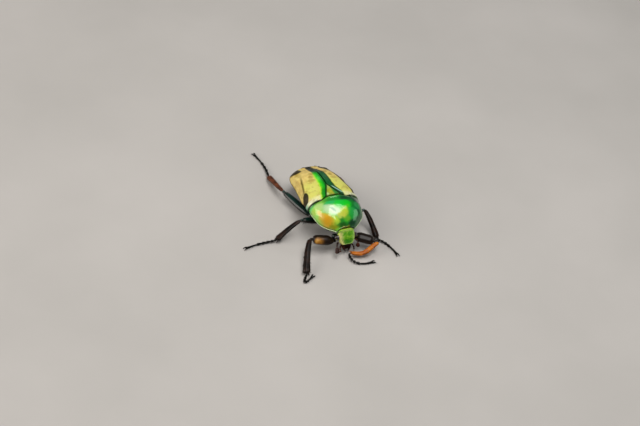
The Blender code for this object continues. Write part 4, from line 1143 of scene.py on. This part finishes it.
def make_feelers(finish):
    """Each feeler: a club-shaped first joint, six beads to the elbow, and three leaves side by side."""
    for name, (elbow, end) in FEELERS.items():
        root, elbow, end = np.array(FEELER_ROOT), np.array(elbow), np.array(end)
        half_way = root + (elbow - root) * 0.45
        first = line(root - (0.3, 0, -0.1), half_way, 20)
        parts = [limb(first, 0.22 + 0.1 * np.linspace(0, 1, 20), 1, 20)]
        beads = [half_way + (elbow - half_way) * s for s in np.linspace(0, 1, 7)]
        for start, stop in zip(beads[:-1], beads[1:]):
            parts.append(limb(line(start, stop + unit(stop - start) * 0.06, 12), 0.25, 0.9, 16))
        way = unit(end - elbow)
        fan = unit(np.cross(way, (0, 0.4, 1)))
        for leaf in (-1, 0, 1):
            tip = end + fan * leaf * 0.26 - way * abs(leaf) * 0.1
            path = bend(elbow + way * 0.1, (elbow + end) / 2 + fan * leaf * 0.16, tip, 30)
            parts.append(limb(path, smooth(LEAF_RADII, np.linspace(0, 1, 30)), 0.45, 24))
        nodes = ("antenna_" + name, "antenna_club_" + name)
        if name == "right":
            parts = [mirrored(part) for part in parts]
        piece("feeler_" + name, parts, finish, "horn", *nodes)


def make_mouth(finish, hair):
    """Mouth below the lip: a blunt plate, a lobe with a brush of hair on each side, and four feelers
    of the mouth, each of rounded joints along a bent path."""
    rings = []
    for t in eased(50):
        x, depth = oval(1.45 - 0.55 * t ** 2, 0.5 - 0.2 * t, 0, -0.55 + 0.2 * t, 80, (2.5, 2.5))
        rings.append(grid_of(x, -10.75 - 0.75 * t + depth, 2.75 - 1.5 * t + 0.4 * depth))
    parts = [tube(closed_ends(np.array(rings), 0.35))]
    roots, ways = [], []
    profile = smooth(((0, 0.7), (0.7, 1.1), (1, 1)), eased(14))
    for side in (1, -1):
        lobe = bend(*(np.array(LOBE) * (side, 1, 1)), 30)
        parts.append(limb(lobe, 0.38, 0.8, 20))
        for places, count, radius, joints in MOUTH_FEELERS:
            path = bend(*(np.array(places) * (side, 1, 1)), count)
            cuts = path[np.linspace(0, count - 1, joints + 1).astype(int)]
            for first, last in zip(cuts[:-1], cuts[1:]):
                parts.append(limb(line(first, last, 14), radius * profile, 1, 16))
        for t in np.linspace(0.1, 1, 60):
            k = int(t * (len(lobe) - 1))
            roots.append(lobe[k] + (-side * 0.2 * t, -0.1, -0.2))
            ways.append((-side * 0.35 + 0.4 * np.sin(37 * t), -0.5 - 0.3 * np.cos(23 * t), -0.9))
    piece("mouth", parts, finish, "horn", "mouthparts")
    piece("mouth_brush", [bristles(np.array(roots), np.array(ways), 0.75, 0.03, 3)], hair, "horn")


# The legs.


def leg_lines(place, hip, root, knee, ankle, bend_point, tip):
    """Middle lines of a leg's hip, thigh, shin and foot. The shin bows away from the thigh: its lift
    is a half sine of its length to a power. Gaps at the joints grow as they fold."""
    thigh_way, shin_way, foot_way = unit(knee - root), unit(ankle - knee), unit(bend_point - ankle)
    fold = max(0, -(thigh_way @ shin_way))
    hip_line = line(hip, root, 40, 0, HIP_GAP)
    thigh_line = line(root, knee, 90, HIP_TRIM, KNEE_TRIM + KNEE_ROOM * fold)
    shin_line = line(knee + thigh_way * KNEE_REACH, ankle, 110)
    t = shares(shin_line)
    along = unit(shin_line[-1] - shin_line[0])
    outside = unit(thigh_way - along * (thigh_way @ along))
    height, lean = FOLDED_SHIN_BOW if place == FOLDED_LEG else SHIN_BOW
    shin_line = shin_line + outside * (height * np.sin(np.pi * t ** lean))[:, None]
    start = ankle + shin_way * (FOOT_GAP + FOOT_ROOM * (1 - shin_way @ foot_way))
    return hip_line, thigh_line, shin_line, bend(start, bend_point, tip, 200, 0), outside


def fringe(path, width, depth, turns, count, seed, length, lean=0.6):
    """Hairs in bands along a limb, at the given turns round it, leaning towards its far end."""
    chance = np.random.default_rng(seed)
    tangent, side, up = frame_along(path)
    k = (chance.uniform(*HAIR_SPAN, count) * (len(path) - 1)).astype(int)
    turn = 2 * np.pi * (chance.choice(turns, count) + chance.normal(0, 0.02, count))[:, None]
    out = np.cos(turn) * side[k] + np.sin(turn) * up[k]
    foot = np.cos(turn) * side[k] * width[k, None] + np.sin(turn) * up[k] * depth[k, None]
    return bristles(path[k] + foot * 0.93, out + tangent[k] * lean, length, HAIR_RADIUS, seed)


def make_thigh(place, thigh_line, shin_start, finish):
    """Thigh that swells in its middle, ridged along the top and grooved below for the folded shin,
    with the hip's small link at its root and a knob in the knee."""
    t = np.linspace(0, 1, len(thigh_line))
    front = place.startswith("front")
    radius = smooth(FRONT_THIGH_RADII if front else THIGH_RADII, t)
    turn = np.linspace(0, 1, 56, endpoint=False)
    groove = -0.12 * bell(turn, 0.75, 0.06) * rise(t, 0.5, 0.9)[:, None]
    ridge = 0.04 * bell(turn, 0.25, 0.05) + 0.05 * bell(turn, 0.5, 0.05)
    way = unit(thigh_line[-1] - thigh_line[0])
    link = line(thigh_line[0] - way * 0.55, thigh_line[0] + way * 0.55, 24)
    knob = line(thigh_line[-1] - way * 0.45, shin_start + way * 0.12, 24)
    parts = [limb(thigh_line, radius, THIGH_DEPTH, 56, groove + ridge, 0.45),
             limb(link, 0.46, 0.85, 32), limb(knob, 0.44, 0.8, 32)]
    piece("thigh_" + place, parts, finish, "thigh_gold" if front else "leg_dark", "femur_" + place)
    return fringe(thigh_line, radius, radius * THIGH_DEPTH, (0.7, 0.8), 90, len(place), 0.7)


def make_shin(place, shin_line, outside, finish, slot):
    """Shin with five low ridges and a crown of short spines at its end. A front shin has hooked outer
    teeth and one spur; the others have one tooth past their middle and two long spurs."""
    front, folded = place.startswith("front"), place == FOLDED_LEG
    t = shares(shin_line)
    radius = smooth(FOLDED_RADII if folded else DIGGING_RADII if front else SHIN_RADII, t)
    depth = DIGGING_DEPTH if front and not folded else SHIN_DEPTH
    turn = np.linspace(0, 1, 60, endpoint=False)
    ridges = 0.05 * np.cos(10 * np.pi * turn) * np.ones((len(t), 1))
    parts = [limb(shin_line, radius, depth, 60, ridges, 0.4)]
    tangent, side, up = frame_along(shin_line)
    outward = np.sign(side[-1] @ outside)
    stations, length, width = (TOOTH_STATIONS, 0.62, 0.34) if front else (TOOTH_STATIONS[1:2], 0.4, 0.22)
    if folded:
        stations, length, width = TOOTH_STATIONS[:2], 0.3, 0.3
    for station in stations:
        k = int(np.argmin(np.abs(t - station)))
        out = side[k] * outward
        base = shin_line[k] + out * radius[k] * 0.55
        tip = base + out * (0.25 + 0.4 * length) + tangent[k] * length * 0.9
        parts.append(spike(base - tangent[k] * 0.1, tip, width, out * 0.16, 20))
    end = shin_line[-4]
    for sign, length in ((-outward, 0.8),) if front else ((1, 0.75), (-1, 0.95)):
        base = end + side[-1] * sign * radius[-4] * 0.55 - up[-1] * 0.1
        tip = base + side[-1] * sign * 0.25 + tangent[-1] * length
        parts.append(spike(base, tip, 0.13, side[-1] * sign * 0.08, 14, 0.05))
    for angle in angles(9):
        out = (np.cos(angle) * side[-1] + np.sin(angle) * up[-1] * depth) * radius[-4]
        base = end + out * 0.85
        parts.append(spike(base, base + tangent[-1] * 0.32 + out * 0.15, 0.07, lowest=0.03))
    piece("shin_" + place, parts, finish, slot, "tibia_" + place)
    return fringe(shin_line, radius, radius * depth, (0.0, 0.5, 0.8), 120, 7 + len(place), 0.5)


def make_foot(place, foot_line, shin_end, finish):
    """Foot of four short joints and a long one, each widening to its far end with two small spines
    below, and two curved claws with a bristly pad between them."""
    parts = [limb(line(shin_end - unit(foot_line[0] - shin_end) * 0.3, foot_line[4], 16), 0.2, 1, 20)]
    last = len(foot_line) - 1
    tangent, side, up = frame_along(foot_line)
    for start, stop in zip(FOOT_STATIONS[:-1], FOOT_STATIONS[1:]):
        first, final = int(start * last), int(stop * last)
        station = first + (final - first) * eased(24)
        stretch = np.stack([np.interp(station, np.arange(len(foot_line)), row) for row in foot_line.T], -1)
        radius = FOOT_RADIUS * smooth(LAST_JOINT if stop == 1 else FOOT_JOINT, np.linspace(0, 1, 24))
        parts.append(limb(stretch, radius, 0.85, 24, 0.0, 0.14))
        for sign in (1, -1):
            base = foot_line[final - 2] + side[final] * sign * 0.24 - up[final] * 0.16
            tip = base + tangent[final] * 0.3 + side[final] * sign * 0.1 - up[final] * 0.12
            base[2] = max(base[2], 0.08)
            parts.append(spike(base, tip, 0.06, lowest=0.02))
    end, along = foot_line[-1], tangent[-1]
    for sign in (1, -1):
        root = end + side[-1] * sign * 0.13 - along * 0.12
        tip = end + (along * 1.05 + side[-1] * sign * 0.3) * CLAW_LENGTH
        tip[2] = 0.03
        middle = end + along * 0.55 + side[-1] * sign * 0.52 + (0, 0, 0.32)
        path = bend(root, middle, tip, 30)
        taper = 0.17 * (1 - np.linspace(0, 1, 30) ** 1.6) + 0.015
        parts.append(tube(limb_rings(path, taper, taper * 1.15, 16)))
    parts.append(limb(line(end - along * 0.1, end + along * 0.32 - (0, 0, 0.1), 14), 0.09, 0.8, 12))
    piece("foot_" + place, parts, finish, "leg_dark", "tarsus_" + place)
    radius = np.full(len(foot_line), FOOT_RADIUS * 0.75)
    return fringe(foot_line, radius, radius * 0.85, (0.0, 0.5, 0.6, 0.9), 60, 31 + len(place), 0.35, 0.9)


def make_hip(place, hip_line, finish):
    """Hip: a swollen cone from the body, creased across."""
    t = np.linspace(0, 1, len(hip_line))
    radius = smooth(HIP_RADII, t) * 1.05
    cone = limb(hip_line, radius, 0.85, 48, 0.03 * np.sin(14 * t)[:, None], 0.5)
    piece("hip_" + place, [cone], finish, "underside", "coxa_" + place)


def make_legs(dark, hair):
    """All six legs, in the colours of each."""
    black = thigh_finish()
    gold = gold_finish()
    brown = horn_finish("shin_brown", (0.004, 0.003, 0.002), (0.045, 0.017, 0.009), 0.55)
    red = horn_finish("shin_red", (0.05, 0.014, 0.006), (0.20, 0.06, 0.025))
    orange = horn_finish("shin_orange", (0.36, 0.07, 0.006), (0.72, 0.24, 0.015))
    foot = horn_finish("foot_black", (0.003, 0.003, 0.002), (0.014, 0.008, 0.005), 0.6)
    shins = {"front_left": (orange, "shin_orange"), "hind_left": (red, "shin_red"),
             "hind_right": (red, "shin_red")}
    for place, joints in LEGS.items():
        hip_line, thigh_line, shin_line, foot_line, outside = leg_lines(place, *np.array(joints, float))
        make_hip(place, hip_line, dark)
        hairs = [make_thigh(place, thigh_line, shin_line[0], gold if place.startswith("front") else black),
                 make_shin(place, shin_line, outside, *shins.get(place, (brown, "leg_dark"))),
                 make_foot(place, foot_line, shin_line[-1], foot)]
        piece("hair_" + place, hairs, hair, "horn")


# Floor, light and camera.


def make_floor():
    """Wide pale floor at zero height."""
    corners = np.array([(-1, -1, 0), (1, -1, 0), (1, 1, 0), (-1, 1, 0)]) * FLOOR_HALF_SIZE
    mesh = bpy.data.meshes.new("floor")
    mesh.from_pydata(corners.tolist(), [], [(0, 1, 2, 3)])
    mesh.materials.append(floor_finish())
    floor = add_object("floor", mesh)


def turned(back, tilt=0.0):
    """Rows of a turn whose third row points back; the first lies level and is then tilted."""
    back = unit(back)
    level = unit(np.cross((0, 0, 1), back))
    rise_way = np.cross(back, level)
    c, s = np.cos(np.radians(tilt)), np.sin(np.radians(tilt))
    return level * c + rise_way * s, rise_way * c - level * s, back


def put(made, right, up, back, place):
    """Stand a light or camera at a place, looking against back."""
    turn = np.eye(4)
    turn[:3] = np.stack([right, up, back, place], 1)
    made.matrix_world = Matrix(turn.tolist())


def add_softbox(name, way, distance, size, power, colour):
    """Rectangular light that looks at the beetle from the given direction."""
    light = bpy.data.lights.new(name, "AREA")
    light.shape = "RECTANGLE"
    light.size, light.size_y = size
    light.energy = power
    light.color = colour
    made = add_object(name, light)
    made.visible_camera = False
    aim = ORIGIN + np.array((0, 0, LIGHT_AIM_Z)) * MM
    put(made, *turned(way, LIGHT_TILT), aim + unit(way) * distance)


def make_light():
    """Soft key overhead, a small light behind, a wide fill on the right, a weak one on the left, and
    a dim sky."""
    for name, values in LIGHTS.items():
        add_softbox(name, *values)
    world = bpy.data.worlds.new("studio")
    bpy.context.scene.world = world
    world.use_nodes = True
    sky = world.node_tree.nodes["Background"]
    sky.inputs["Color"].default_value = SKY_COLOUR
    sky.inputs["Strength"].default_value = SKY_STRENGTH


def make_camera():
    """Camera above the beetle's right front, aimed beside it so that the beetle sits off the middle."""
    turn, height = np.radians((VIEW_TURN, VIEW_HEIGHT))
    back = np.array([np.sin(turn) * np.cos(height), -np.cos(turn) * np.cos(height), np.sin(height)])
    right, up, back = turned(back, VIEW_TILT)
    aim = ORIGIN + (right * VIEW_AIM[0] + up * VIEW_AIM[1]) * MM
    camera = bpy.data.cameras.new("camera")
    camera.lens = LENS
    camera.sensor_width = SENSOR_WIDTH
    camera.clip_start = NEAREST
    made = add_object("camera", camera)
    put(made, right, up, back, aim + back * VIEW_DISTANCE)
    bpy.context.scene.camera = made


make_camera()
make_floor()
make_light()
bpy.context.scene.view_settings.view_transform = "Standard"
underside = dark_finish()
golden_hair = hair_finish()
horn = horn_finish("horn_brown", (0.014, 0.005, 0.003), (0.085, 0.018, 0.007))
make_shield()
make_wing_cases()
make_scutellum()
make_shoulders()
make_fore_body(underside)
make_breast(underside)
make_belly(underside)
make_pygidium(underside)
make_head()
make_eyes()
make_feelers(horn)
make_mouth(horn, golden_hair)
make_legs(underside, golden_hair)
